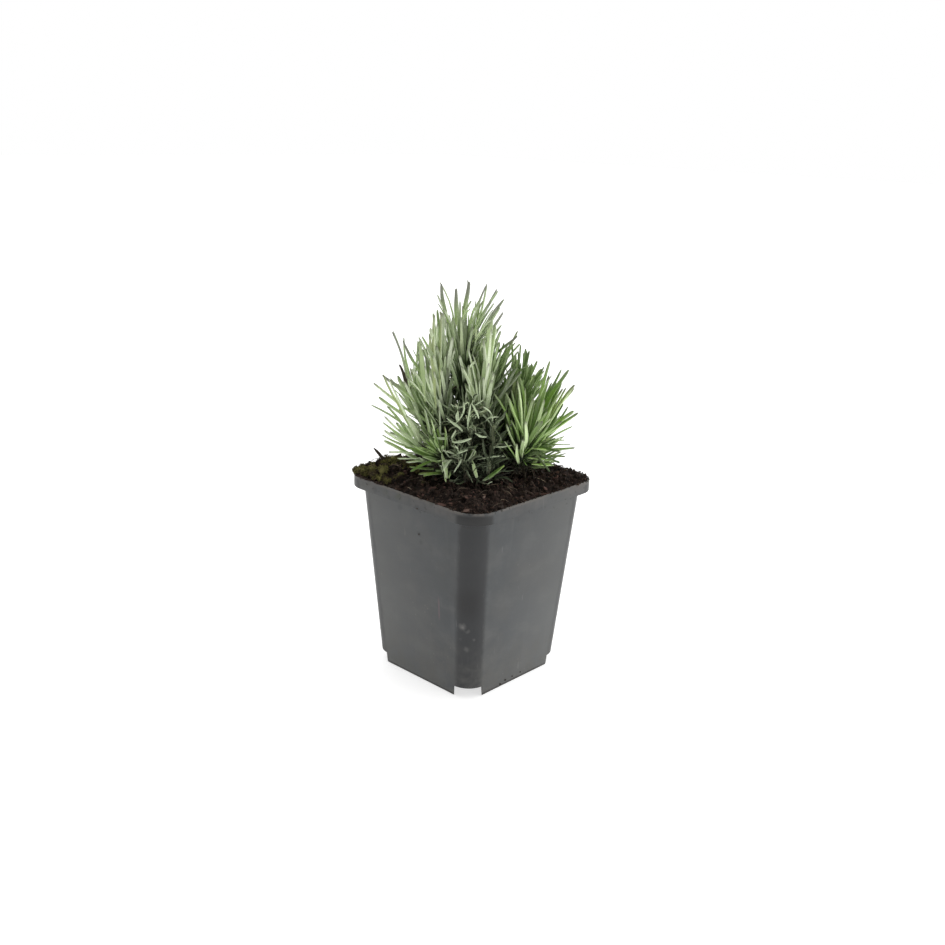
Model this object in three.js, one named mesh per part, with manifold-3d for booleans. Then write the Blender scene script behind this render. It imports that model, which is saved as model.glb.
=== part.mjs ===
// A young lavender in a square plastic nursery pot that is filled to the rim with peat.
// Millimetres, +Z up. The origin is the centre of the pot's foot, on the surface that it stands on,
// and the pot's sides run along X and Y. The plant is laid out in a frame of its own, turned so that
// its front faces the pot's corner at +X -Y.
import * as THREE from "three";
import { mergeVertices } from "three/addons/utils/BufferGeometryUtils.js";
import Module from "manifold-3d";

const wasm = await Module();
wasm.setup();

// ---------------------------------------------------------------- driving dimensions

const POT = {
  height: 100,
  rimSide: 90,
  rimHeight: 6.9,
  rimFace: 5.6, // upright part of the collar, above its sloping underside
  rimRadius: 13,
  bodyTopSide: 81.5,
  bodyTopRadius: 11,
  footSide: 67,
  footRadius: 10,
  wall: 1.2,
  floor: 1.4,
};
// Raised channels cross under the floor from corner to corner and open as a notch in each corner.
const CHANNEL = { width: 13.4, height: 5.5 };
const DRAIN = { radius: 4, fromCentre: 29 };
const GAP = 0.35; // clearance between pieces that touch
const OWN_ROOM = 0.75; // share of their widths that leaves of one stem keep apart

const SOIL = {
  edge: 99.3, // level where the peat meets the rim
  shoulder: 2.6, // how far it rises just inside the rim
  crown: 1.4, // and from there to the middle
  clod: 1.1, // height of its lumps
  heap: 3, // height of the heap at the left corner
  rings: 9,
  perSide: 7,
};

// A blade is a slim triangle in section, with its midrib standing out below.
const LEAF = {
  keel: 0.95, // depth of the folded blade, from its margins to its midrib
  thinnest: 0.65, // share of that depth which the narrow ends keep
  profile: [[0, 0.34], [0.22, 1], [0.9, 0.84], [1, 0]], // [share of its length, share of its width]
  oldProfile: [[0, 0.4], [0.5, 1], [1, 0.45]],
  sunk: 0.45, // root's distance from the middle of the stem, in stem radii
};
const STEM = { foot: 1.5, apex: 0.9, sides: 5, rings: [0.25, 0.5, 0.75, 0.98], tip: 1.5, buried: 13 };
const HOLE = { radius: 2.2, sides: 7, below: 1, above: 11 }; // in the peat, round each stem's foot
const CORNER_STEPS = 5; // facets of a rounded corner
const PLANT_TURN = Math.PI / 4; // turns the plant's frame so that its front faces a corner

// Each leafy stem: foot [right, front] where it leaves the peat, apex [right, front, above the rim],
// pairs of leaves, the longest leaf, its width, how far leaves stand off the stem at the bottom and
// at the top of it in degrees, and the tips of its outermost leaves [right, front, above the rim].
const SHOOTS = [
  {
    name: "middle_tall_shoot",
    foot: [-4, -3],
    apex: [-6, -3, 62],
    pairs: 9,
    leaf: 34,
    width: 2.6,
    spread: [42, 20],
    tips: [
      [-18, -4, 94],
      [-19, 2, 89],
      [-10, -6, 91],
      [-5, 0, 96],
      [4, -2, 94],
      [9, 2, 92],
      [12, 5, 88],
      [10, 7, 85],
    ],
  },
  {
    name: "middle_right_shoot",
    foot: [4, -5],
    apex: [5, -5, 47],
    pairs: 9,
    leaf: 34,
    width: 2.6,
    spread: [46, 20],
    tips: [[7, -3, 78], [5, 3, 77], [20, -8, 71], [21, -4, 66], [17, 0, 68], [11, 4, 73]],
  },
  {
    name: "middle_front_shoot",
    foot: [4, 6],
    apex: [5, 9, 42],
    pairs: 9,
    leaf: 34,
    width: 2.8,
    spread: [40, 16],
    tips: [[3, 12, 70], [6, 9, 77], [-4, 12, 66], [11, 14, 64]],
  },
  {
    name: "left_tall_shoot",
    foot: [-11, 1],
    apex: [-17, 1, 50],
    pairs: 9,
    leaf: 32,
    width: 2.6,
    spread: [45, 14],
    tips: [[-21, 0, 80], [-19, -2, 81], [-16, 4, 81], [-22, 3, 74], [-23, 6, 66]],
  },
  {
    name: "left_back_shoot",
    foot: [-16, -6],
    apex: [-29, -7, 31],
    pairs: 8,
    leaf: 34,
    width: 2.5,
    spread: [50, 18],
    tips: [[-40, -5, 70], [-35, -6, 66], [-28, -3, 66], [-32, -2, 51]],
  },
  {
    name: "left_low_shoot",
    foot: [-14, 9],
    apex: [-27, 11, 16],
    pairs: 8,
    leaf: 28,
    width: 2.6,
    spread: [50, 22],
    tips: [[-44, 6, 51], [-41, 6, 50], [-42, 8, 36], [-43, 8, 32], [-44, 10, 28], [-44, 12, 23]],
  },
  {
    name: "left_front_shoot",
    foot: [-8, 15],
    apex: [-17, 22, 17],
    pairs: 9,
    leaf: 21,
    width: 2.4,
    spread: [62, 24],
    tips: [[-33, 18, 19], [-30, 22, 8], [-21, 24, 35], [-13, 31, 6]],
  },
  {
    name: "right_fan_shoot",
    foot: [22, 10],
    apex: [26, 12, 21],
    pairs: 10,
    leaf: 38,
    width: 2.9,
    spread: [66, 16],
    tips: [
      [35, 8, 60],
      [44, 8, 56],
      [41, 3, 55],
      [47, 9, 49],
      [48, 11, 45],
      [47, 12, 37],
      [19, 22, 53],
      [15, 22, 46],
      [41, 16, 18],
      [41, 19, 13],
      [36, 24, 10],
    ],
  },
  {
    name: "right_back_shoot",
    foot: [14, -7],
    apex: [22, -9, 36],
    pairs: 9,
    leaf: 31,
    width: 2.5,
    spread: [52, 18],
    tips: [[18, -12, 64], [22, -9, 64], [26, -9, 62], [30, -6, 57], [34, -4, 50]],
  },
  {
    name: "far_right_shoot",
    foot: [20, 2],
    apex: [31, 1, 18],
    pairs: 7,
    leaf: 27,
    width: 2.5,
    spread: [62, 24],
    tips: [[42, -2, 38], [44, 4, 22]],
  },
  {
    name: "back_middle_shoot",
    foot: [-2, -15],
    apex: [-2, -24, 42],
    pairs: 8,
    leaf: 32,
    width: 2.5,
    spread: [52, 18],
    tips: [[-6, -30, 69], [6, -33, 65]],
  },
  {
    name: "back_left_shoot",
    foot: [-14, -16],
    apex: [-24, -25, 28],
    pairs: 8,
    leaf: 30,
    width: 2.5,
    spread: [56, 20],
    tips: [[-32, -32, 47], [-28, -21, 56]],
  },
  {
    name: "back_right_shoot",
    foot: [12, -18],
    apex: [22, -29, 26],
    pairs: 8,
    leaf: 30,
    width: 2.5,
    spread: [56, 20],
    tips: [[31, -36, 45], [21, -33, 53]],
  },
];
// The cut-back first growth in front: short stems that carry small, curled, greyer leaves.
const OLD_TWIGS = [
  { name: "old_twig_left", foot: [-6, 9], apex: [-8, 14, 35] },
  { name: "old_twig_middle", foot: [-1, 13], apex: [-3, 18, 39] },
  { name: "old_twig_right", foot: [8, 14], apex: [9, 18, 31] },
  { name: "old_twig_low_left", foot: [-2, 21], apex: [-7, 27, 17] },
  { name: "old_twig_low_right", foot: [7, 22], apex: [7, 28, 16] },
].map((twig) => ({ ...twig, pairs: 9, leaf: 13, width: 1.9, spread: [78, 42], tips: [], old: true }));

const PLANTS = [...SHOOTS, ...OLD_TWIGS];

// ---------------------------------------------------------------- colours and finishes

const FINISH = {
  pot: { color: 0x5c5e60, roughness: 0.48, metalness: 0 },
  soil: { color: 0x2a1f1b, roughness: 1, metalness: 0 },
  fresh: { color: 0x7f9a68, roughness: 0.75, metalness: 0 },
  grey: { color: 0x8f9f88, roughness: 0.8, metalness: 0 },
  old: { color: 0x6f7a64, roughness: 0.85, metalness: 0 },
};

// ---------------------------------------------------------------- solids

// A closed solid from rings of points in order. A ring of one point is a tip.
function loft(rings) {
  const points = rings.flat();
  const faces = [];
  let start = 0;
  rings.slice(1).forEach((next, k) => {
    const ring = rings[k];
    const after = start + ring.length;
    const count = Math.max(ring.length, next.length);
    for (let i = 0; i < count; i++) {
      const j = (i + 1) % count;
      if (ring.length > 1) faces.push([start + i, start + j, after + (next.length > 1 ? j : 0)]);
      if (next.length > 1) faces.push([start + (ring.length > 1 ? i : 0), after + j, after + i]);
    }
    start = after;
  });
  for (let i = 1; i < rings[0].length - 1; i++) faces.push([0, i + 1, i]);
  for (let i = 1; i < rings.at(-1).length - 1; i++) faces.push([start, start + i, start + i + 1]);
  return solidOfFaces(points, faces);
}

function solidOfFaces(points, faces) {
  const volume = faces.reduce(
    (sum, [a, b, c]) => sum + points[a].dot(new THREE.Vector3().crossVectors(points[b], points[c])),
    0,
  );
  const outward = volume > 0 ? faces : faces.map(([a, b, c]) => [a, c, b]);
  const vertProperties = new Float32Array(points.flatMap((p) => [p.x, p.y, p.z]));
  return new wasm.Manifold(
    new wasm.Mesh({ numProp: 3, vertProperties, triVerts: new Uint32Array(outward.flat()) }),
  );
}

function solidOfGeometry(geometry) {
  const bare = geometry.clone();
  bare.deleteAttribute("normal");
  bare.deleteAttribute("uv");
  const merged = mergeVertices(bare, 1e-4);
  return new wasm.Manifold(
    new wasm.Mesh({
      numProp: 3,
      vertProperties: new Float32Array(merged.attributes.position.array),
      triVerts: new Uint32Array(merged.index.array),
    }),
  );
}

function meshOfSolid(solid, name, finish) {
  const { numProp, vertProperties, triVerts } = solid.getMesh();
  const position = new Float32Array((vertProperties.length / numProp) * 3);
  for (let i = 0; i * numProp < vertProperties.length; i++) {
    position.set(vertProperties.subarray(i * numProp, i * numProp + 3), i * 3);
  }
  const geometry = new THREE.BufferGeometry();
  geometry.setAttribute("position", new THREE.BufferAttribute(position, 3));
  geometry.setIndex(new THREE.BufferAttribute(triVerts, 1));
  geometry.computeVertexNormals();
  const mesh = new THREE.Mesh(geometry, new THREE.MeshStandardMaterial({ ...finish, flatShading: true }));
  mesh.name = name;
  return mesh;
}

// After each rounded corner the outline runs on along -X, -Y, +X and +Y in turn.
const SIDE_RUNS = [[-1, 0], [0, -1], [1, 0], [0, 1]].map(([x, y]) => new THREE.Vector3(x, y, 0));

// The outline of a square with rounded corners, counter-clockwise seen from above.
function roundedSquare(side, radius, z, sideSteps = 1) {
  const reach = side / 2 - radius;
  const ring = [];
  for (let corner = 0; corner < 4; corner++) {
    const cx = corner === 0 || corner === 3 ? reach : -reach;
    const cy = corner < 2 ? reach : -reach;
    for (let i = 0; i <= CORNER_STEPS; i++) {
      const angle = ((corner + i / CORNER_STEPS) * Math.PI) / 2;
      ring.push(new THREE.Vector3(cx + radius * Math.cos(angle), cy + radius * Math.sin(angle), z));
    }
    const from = ring.at(-1);
    for (let i = 1; i < sideSteps; i++) {
      ring.push(from.clone().addScaledVector(SIDE_RUNS[corner], (i / sideSteps) * 2 * reach));
    }
  }
  return ring;
}

// ---------------------------------------------------------------- the pot

// Outer side and corner radius of the pot's tapered body at a height.
function bodyAt(z) {
  const share = z / (POT.height - POT.rimHeight);
  return {
    side: THREE.MathUtils.lerp(POT.footSide, POT.bodyTopSide, share),
    radius: THREE.MathUtils.lerp(POT.footRadius, POT.bodyTopRadius, share),
  };
}

function bodyRing(z, inset, sideSteps) {
  const { side, radius } = bodyAt(z);
  return roundedSquare(side - 2 * inset, radius - inset, z, sideSteps);
}

function rimRing(z, inset, sideSteps) {
  return roundedSquare(POT.rimSide - 2 * inset, POT.rimRadius - inset, z, sideSteps);
}

// A bar from corner to corner, standing on z = 0.
function diagonalBar(width, height, turn) {
  const bar = new THREE.BoxGeometry(POT.rimSide * 1.5, width, height + 1);
  bar.translate(0, 0, (height - 1) / 2);
  bar.rotateZ(turn);
  return solidOfGeometry(bar);
}

function crossBars(width, height) {
  return diagonalBar(width, height, Math.PI / 4).add(diagonalBar(width, height, -Math.PI / 4));
}

function drainHole(x, y) {
  const hole = new THREE.CylinderGeometry(DRAIN.radius, DRAIN.radius, 20, 16);
  hole.rotateX(Math.PI / 2);
  hole.translate(x, y, 0);
  return solidOfGeometry(hole);
}

function makePot() {
  const shoulder = POT.height - POT.rimHeight;
  const shell = loft([
    bodyRing(0, 0.5),
    bodyRing(0.5, 0),
    bodyRing(shoulder, 0),
    rimRing(POT.height - POT.rimFace, 0),
    rimRing(POT.height - 0.5, 0),
    rimRing(POT.height, 0.4),
    rimRing(POT.height, POT.wall - 0.2),
    rimRing(POT.height - POT.rimFace + POT.wall, POT.wall),
    bodyRing(shoulder + POT.wall, POT.wall),
    bodyRing(POT.floor, POT.wall),
  ]);
  // The channels' roofs are as thick as the floor, and they stop inside the walls.
  const inside = loft([bodyRing(0.2, 0.6), bodyRing(shoulder, 0.6)]);
  const roofs = crossBars(CHANNEL.width + 2 * POT.floor, CHANNEL.height + POT.floor).intersect(inside);
  const channels = crossBars(CHANNEL.width, CHANNEL.height);
  let pot = shell.add(roofs).subtract(channels);
  for (let quarter = 0; quarter < 4; quarter++) {
    const angle = Math.PI / 4 + (quarter * Math.PI) / 2;
    pot = pot.subtract(drainHole(DRAIN.fromCentre * Math.cos(angle), DRAIN.fromCentre * Math.sin(angle)));
  }
  return pot.subtract(drainHole(0, 0));
}

// ---------------------------------------------------------------- the peat

// Height of the peat at a place in the pot's frame: a low mound with lumps, and a heap at one corner.
function soilHeight(x, y) {
  const fromEdge = 1 - Math.max(Math.abs(x), Math.abs(y)) / (POT.rimSide / 2 - POT.wall);
  const shoulder = THREE.MathUtils.smoothstep(fromEdge, 0, 0.22);
  const heap = SOIL.heap * Math.exp(-((x + 32) ** 2 + (y + 31) ** 2) / 220);
  const lumps =
    Math.sin(0.71 * x + 1.7 * Math.sin(0.33 * y)) * Math.sin(0.63 * y + 1.4 * Math.sin(0.29 * x)) +
    0.6 * Math.sin(1.31 * x - 0.6 * y + 2) * Math.sin(0.97 * y + 0.8 * x);
  return SOIL.edge + shoulder * (SOIL.shoulder + SOIL.crown * fromEdge + heap + SOIL.clod * lumps);
}

function makeSoil() {
  const shoulder = POT.height - POT.rimHeight;
  const inset = POT.wall + GAP;
  const steps = SOIL.perSide;
  const sides = [
    bodyRing(POT.floor + GAP, inset, steps),
    bodyRing(shoulder + inset, inset, steps),
    rimRing(POT.height - POT.rimFace + inset, inset, steps),
    rimRing(SOIL.edge, inset, steps),
  ];
  const outline = sides.at(-1);
  const surface = [];
  for (let k = SOIL.rings - 1; k > 0; k--) {
    const share = k / SOIL.rings;
    surface.push(
      outline.map((p) => new THREE.Vector3(p.x * share, p.y * share, soilHeight(p.x * share, p.y * share))),
    );
  }
  const peat = loft([...sides, ...surface, [new THREE.Vector3(0, 0, soilHeight(0, 0))]]);
  return peat.subtract(crossBars(CHANNEL.width + 2 * POT.floor + 2 * GAP, CHANNEL.height + POT.floor + GAP));
}

// ---------------------------------------------------------------- the plant's frame

const plantFrame = new THREE.Matrix4().makeRotationZ(PLANT_TURN);

// A point of the plant from how far right, towards the front and above the rim it is.
function place(right, front, rise) {
  return new THREE.Vector3(right, -front, POT.height + rise);
}

function soilUnder(point) {
  const inPot = point.clone().applyMatrix4(plantFrame);
  return soilHeight(inPot.x, inPot.y);
}

// A repeatable draw from 0 to 1 for a stem, a leaf and a purpose.
function draw(...keys) {
  let mixed = 2166136261;
  for (const key of keys) {
    mixed = Math.imul(mixed ^ (key + 101), 16777619) >>> 0;
    mixed = Math.imul(mixed ^ (mixed >>> 15), 2246822519) >>> 0;
    mixed = (mixed ^ (mixed >>> 13)) >>> 0;
  }
  return mixed / 4294967296;
}

function between(low, high, ...keys) {
  return THREE.MathUtils.lerp(low, high, draw(...keys));
}

// ---------------------------------------------------------------- stems

// The stem stands upright in its hole and then leans over to its apex.
function stemOf(plant) {
  const foot = place(...plant.foot, 0);
  foot.z = soilUnder(foot) + 1.2;
  const apex = place(...plant.apex);
  const bend = foot.clone().lerp(apex, 0.45);
  bend.x = THREE.MathUtils.lerp(foot.x, apex.x, 0.3);
  bend.y = THREE.MathUtils.lerp(foot.y, apex.y, 0.3);
  return new THREE.QuadraticBezierCurve3(foot, bend, apex);
}

// A level-ish direction across an upright stem, the same all the way up it.
function across(direction) {
  return new THREE.Vector3(1, 0, 0).projectOnPlane(direction).normalize();
}

function ringRound(centre, direction, radius) {
  const u = across(direction);
  const v = direction.clone().cross(u);
  return Array.from({ length: STEM.sides }, (_, i) => {
    const angle = (i / STEM.sides) * 2 * Math.PI;
    return centre
      .clone()
      .addScaledVector(u, radius * Math.cos(angle))
      .addScaledVector(v, radius * Math.sin(angle));
  });
}

function stemRadius(t) {
  return THREE.MathUtils.lerp(STEM.foot, STEM.apex, t);
}

function makeStem(curve) {
  const up = new THREE.Vector3(0, 0, 1);
  const below = curve.v0.clone().addScaledVector(up, -STEM.buried);
  const rings = [ringRound(below, up, STEM.foot), ringRound(curve.v0, up, STEM.foot)];
  for (const t of STEM.rings) {
    rings.push(ringRound(curve.getPoint(t), curve.getTangent(t), stemRadius(t)));
  }
  rings.push([curve.v2.clone().addScaledVector(curve.getTangent(1), STEM.tip)]);
  return loft(rings);
}

function stemHole(curve) {
  const depth = STEM.buried + HOLE.below;
  const hole = new THREE.CylinderGeometry(HOLE.radius, HOLE.radius, depth + HOLE.above, HOLE.sides);
  hole.rotateX(Math.PI / 2);
  hole.translate(curve.v0.x, curve.v0.y, curve.v0.z + (HOLE.above - depth) / 2);
  hole.applyMatrix4(plantFrame);
  return solidOfGeometry(hole);
}

// ---------------------------------------------------------------- leaves

// How far a midrib bows outwards, as a share of its length.
const BOW = { fresh: [-0.08, 0.1], old: [-0.1, 0.34], tip: [-0.03, 0.09] };

// A leaf's midrib is a curve from the middle of its stem to its tip, bowed by a share of its length.
function midrib(root, tip, along, bow) {
  const chord = tip.clone().sub(root);
  const outward = along.clone().cross(chord).cross(chord).normalize().negate();
  const bend = root.clone().lerp(tip, 0.5).addScaledVector(outward, bow * chord.length());
  return new THREE.QuadraticBezierCurve3(root, bend, tip);
}

// A pair of leaves stands a quarter turn round from the pair below it.
function leafByRule(plant, stem, shoot, pair, side, nudge) {
  const share = (pair + 0.6) / plant.pairs;
  const t = 0.06 + 0.92 * share;
  const along = stem.getTangent(t);
  const quarter = pair * 90 + side * 180 + between(-24, 24, shoot, pair, side, 1);
  const around = THREE.MathUtils.degToRad(quarter + nudge.turn);
  const u = across(along);
  const v = along.clone().cross(u);
  const out = u.multiplyScalar(Math.cos(around)).addScaledVector(v, Math.sin(around));
  const root = stem.getPoint(t).addScaledVector(out, LEAF.sunk * stemRadius(t));
  const lean = THREE.MathUtils.lerp(...plant.spread, share ** 0.8) + between(-8, 8, shoot, pair, side, 2);
  const angle = THREE.MathUtils.degToRad(Math.max(8, lean + nudge.lift));
  const growth = plant.old ? 0.85 : 0.62 + 0.38 * Math.sin(Math.PI * Math.min(1, 0.2 + 0.75 * share));
  const length = plant.leaf * growth * between(0.82, 1.08, shoot, pair, side, 3) * nudge.shorten;
  const direction = along.clone().multiplyScalar(Math.cos(angle)).addScaledVector(out, Math.sin(angle));
  const tip = root.clone().addScaledVector(direction, length);
  const bow = between(...(plant.old ? BOW.old : BOW.fresh), shoot, pair, side, 4);
  const width = plant.width * between(0.85, 1.08, shoot, pair, side, 5);
  const profile = plant.old ? LEAF.oldProfile : LEAF.profile;
  return { curve: midrib(root, tip, along, bow), along, width, profile };
}

// An outermost leaf runs to its listed tip from the stretch of stem that faces the tip.
function leafToTip(plant, stem, shoot, index, nudge) {
  const [right, front, rise] = plant.tips[index];
  const tip = place(right, front + nudge.forward, rise);
  const stretch = stem.v2.distanceTo(tip) < plant.leaf ? 0.28 : 0.12;
  const t = 1 - stretch * draw(shoot, index, 7);
  const along = stem.getTangent(t);
  const out = tip.clone().sub(stem.getPoint(t)).projectOnPlane(along).normalize();
  const root = stem.getPoint(Math.min(0.97, t)).addScaledVector(out, LEAF.sunk * stemRadius(t));
  const bow = between(...BOW.tip, shoot, index, 8);
  const width = plant.width * between(0.9, 1.08, shoot, index, 9);
  return { curve: midrib(root, tip, along, bow), along, width, profile: LEAF.profile };
}

function makeLeaf(leaf) {
  const chord = leaf.curve.v2.clone().sub(leaf.curve.v0);
  const sideways = leaf.along.clone().cross(chord).normalize();
  const rings = leaf.profile.map(([u, breadth]) => {
    const centre = leaf.curve.getPoint(u);
    if (breadth === 0) return [centre];
    const half = (leaf.width / 2) * breadth;
    const face = sideways.clone().cross(leaf.curve.getTangent(u));
    const keel = LEAF.keel * Math.max(LEAF.thinnest, breadth);
    return [
      centre.clone().addScaledVector(sideways, half).addScaledVector(face, -keel / 3),
      centre.clone().addScaledVector(sideways, -half).addScaledVector(face, -keel / 3),
      centre.clone().addScaledVector(face, (keel * 2) / 3),
    ];
  });
  return loft(rings);
}

// The largest body of a union: its outer shell, without the slivers of space that leaves shut in.
function outerShell(solid) {
  return solid.decompose().reduce((largest, body) => (body.volume() > largest.volume() ? body : largest));
}

// ---------------------------------------------------------------- keeping the stems' leaves apart

// Shortest distance between two straight pieces, a to b and c to d.
function distanceBetween(a, b, c, d) {
  const p = b.clone().sub(a);
  const q = d.clone().sub(c);
  const r = a.clone().sub(c);
  const [pp, qq, pq, pr, qr] = [p.dot(p), q.dot(q), p.dot(q), p.dot(r), q.dot(r)];
  const denominator = pp * qq - pq * pq;
  let s = denominator > 1e-9 ? THREE.MathUtils.clamp((pq * qr - pr * qq) / denominator, 0, 1) : 0;
  const t = THREE.MathUtils.clamp((pq * s + qr) / qq, 0, 1);
  s = THREE.MathUtils.clamp((pq * t - pr) / pp, 0, 1);
  return a.clone().addScaledVector(p, s).distanceTo(c.clone().addScaledVector(q, t));
}

function piecesOf(curve, radius, shoot, from = 0, steps = 5) {
  const points = Array.from({ length: steps + 1 }, (_, i) => curve.getPoint(from + ((1 - from) * i) / steps));
  return points.slice(1).map((b, i) => ({ a: points[i], b, radius, shoot, near: i < 2 }));
}

const taken = []; // straight pieces of every stem and leaf so far, each with its radius

// Leaves of one stem may touch near it. Everywhere else leaves keep apart.
function areApart(piece, other) {
  const sameStem = piece.shoot === other.shoot;
  if (sameStem && (piece.near || other.near)) return true;
  const room = (piece.radius + other.radius) * (sameStem ? OWN_ROOM : 1) + GAP;
  const reach = piece.a.distanceTo(piece.b) + other.a.distanceTo(other.b);
  if (piece.a.distanceTo(other.a) > reach + room) return true;
  return distanceBetween(piece.a, piece.b, other.a, other.b) > room;
}

function isClear(pieces) {
  return pieces.every((piece) => taken.every((other) => areApart(piece, other)));
}

// The outer leaves rise clear of the rim: by how much for each mm further out than a start.
const SKIRT = { from: 22, left: 0.8, right: 0.5 };

// Inside the rim's outline seen from above, above the peat and above the skirt.
function isInPlace(pieces) {
  return pieces.every(({ b, radius }) => {
    const inPot = b.clone().applyMatrix4(plantFrame);
    const reach = Math.max(Math.abs(inPot.x), Math.abs(inPot.y)) + radius;
    const further = Math.max(0, Math.abs(b.x) - SKIRT.from);
    const skirt = POT.height + further * (b.x < 0 ? SKIRT.left : SKIRT.right);
    const ground = Math.max(soilHeight(inPot.x, inPot.y), skirt);
    return reach < POT.rimSide / 2 - GAP && b.z > ground + radius;
  });
}

// Bends a leaf by the first nudge that keeps it clear of other stems' leaves, or gives null.
function fit(shoot, nudges, makeOne) {
  for (const nudge of nudges) {
    const leaf = makeOne(nudge);
    const pieces = piecesOf(leaf.curve, leaf.width / 2, shoot);
    if (isInPlace(pieces) && isClear(pieces)) {
      taken.push(...pieces);
      return leaf;
    }
  }
  return null;
}

const RULE_NUDGES = [1, 0.85, 0.7].flatMap((shorten) =>
  [0, 15, -15, 30, -30, 42, -42].flatMap((turn) => [0, -10, 12].map((lift) => ({ turn, lift, shorten }))),
);
const TIP_NUDGES = [0, 2, -2, 4, -4, 6, -6, 9, -9, 12, -12].map((forward) => ({ forward }));

// ---------------------------------------------------------------- assembly

const stems = PLANTS.map(stemOf);
stems.forEach((stem, shoot) => {
  taken.push(...piecesOf(stem, STEM.foot, shoot).map((piece) => ({ ...piece, near: true })));
});

const leaves = PLANTS.map(() => []);
PLANTS.forEach((plant, shoot) => {
  plant.tips.forEach((_, index) => {
    const leaf = fit(shoot, TIP_NUDGES, (nudge) => leafToTip(plant, stems[shoot], shoot, index, nudge));
    if (leaf) leaves[shoot].push(leaf);
  });
});
const MOST_PAIRS = Math.max(...PLANTS.map((plant) => plant.pairs));
for (let below = 0; below < MOST_PAIRS; below++) {
  PLANTS.forEach((plant, shoot) => {
    const pair = plant.pairs - 1 - below;
    if (pair < 0) return;
    for (const side of [0, 1]) {
      const makeOne = (nudge) => leafByRule(plant, stems[shoot], shoot, pair, side, nudge);
      const leaf = fit(shoot, RULE_NUDGES, makeOne);
      if (leaf) leaves[shoot].push(leaf);
    }
  });
}

function finishOf(plant) {
  if (plant.old) return FINISH.old;
  return /right|front/.test(plant.name) ? FINISH.fresh : FINISH.grey;
}

const lavender = new THREE.Group();
lavender.add(meshOfSolid(makePot(), "pot", FINISH.pot));
const peat = stems.reduce((solid, stem) => solid.subtract(stemHole(stem)), makeSoil());
lavender.add(meshOfSolid(peat, "potting_soil", FINISH.soil));

const plants = new THREE.Group();
plants.rotation.z = PLANT_TURN;
PLANTS.forEach((plant, shoot) => {
  const joined = wasm.Manifold.union([makeStem(stems[shoot]), ...leaves[shoot].map(makeLeaf)]);
  plants.add(meshOfSolid(outerShell(joined), plant.name, finishOf(plant)));
});
lavender.add(plants);

export default lavender;
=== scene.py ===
# %% [markdown]
# # A young lavender in its nursery pot
# A small lavender grows in a square plastic pot that is filled to the rim with peat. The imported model
# gives the true sizes of everything. This lesson starts from it, and replaces each plain solid by a
# finer piece of the same form: a pot with soft edges, peat with its crumbs, and leaves with a rolled
# margin and a midrib.

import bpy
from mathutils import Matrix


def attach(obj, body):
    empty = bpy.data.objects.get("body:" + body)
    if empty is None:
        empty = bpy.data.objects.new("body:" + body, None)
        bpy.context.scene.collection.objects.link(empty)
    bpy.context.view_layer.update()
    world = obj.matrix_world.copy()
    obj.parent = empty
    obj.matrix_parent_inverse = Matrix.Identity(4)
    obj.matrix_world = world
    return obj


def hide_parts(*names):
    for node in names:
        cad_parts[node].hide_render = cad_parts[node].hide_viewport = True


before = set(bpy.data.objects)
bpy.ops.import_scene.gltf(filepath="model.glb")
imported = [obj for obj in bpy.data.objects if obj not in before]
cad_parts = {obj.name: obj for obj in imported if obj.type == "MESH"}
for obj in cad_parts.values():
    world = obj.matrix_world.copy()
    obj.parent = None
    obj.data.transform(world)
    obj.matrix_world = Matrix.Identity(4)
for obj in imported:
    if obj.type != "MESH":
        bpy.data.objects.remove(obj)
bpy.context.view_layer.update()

# %% Modules and units
import math

import bmesh
import bpy
import numpy as np
from mathutils import Quaternion, Vector

MM = 0.001  # sizes below are in millimetres and turn into metres where a mesh is made

# %% [markdown]
# ## The camera
# The photograph looks at a corner of the pot from a little above. The camera could be aimed by eye,
# but a lens fitted to the corners of the pot gives the same perspective: its place, a small roll, and
# a focal length in pixels of a frame 945 pixels wide.

# %% Camera
FRAME_PIXELS = 945
FOCAL_PIXELS = 1113
CAMERA_PLACE = Vector((359.4, -382.8, 267.3)) * MM
CAMERA_AZIMUTH, CAMERA_ELEVATION, CAMERA_ROLL = (math.radians(a) for a in (43.18, 17.55, 1.8))

camera = bpy.data.objects.new("camera", bpy.data.cameras.new("camera"))
bpy.context.scene.collection.objects.link(camera)
camera.data.sensor_width = 36
camera.data.lens = FOCAL_PIXELS / FRAME_PIXELS * camera.data.sensor_width
camera.data.clip_start, camera.data.clip_end = 0.02, 20
to_camera = Vector((
    math.sin(CAMERA_AZIMUTH) * math.cos(CAMERA_ELEVATION),
    -math.cos(CAMERA_AZIMUTH) * math.cos(CAMERA_ELEVATION),
    math.sin(CAMERA_ELEVATION),
))
aim = (-to_camera).to_track_quat("-Z", "Y")
camera.location = CAMERA_PLACE
camera.rotation_mode = "QUATERNION"
camera.rotation_quaternion = aim @ Quaternion((0, 0, 1), CAMERA_ROLL)
bpy.context.scene.camera = camera
print("lens, mm:", round(camera.data.lens, 2))

# %% [markdown]
# ## Writing materials as sums
# A material is a net of nodes. Drawn by hand it is hard to read in a script, so two small classes turn
# it into arithmetic. `Wire` wraps one socket and lets `1 - mask * 0.5` add the Math nodes. `Finish`
# starts a material, adds any other node, and ends in one Principled shader.

# %% Wire
def plug(tree, socket, value):
    """Links a wire to a socket, or sets the socket's own value."""
    if isinstance(value, Wire):
        tree.links.new(value.socket, socket)
    else:
        socket.default_value = value


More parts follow.
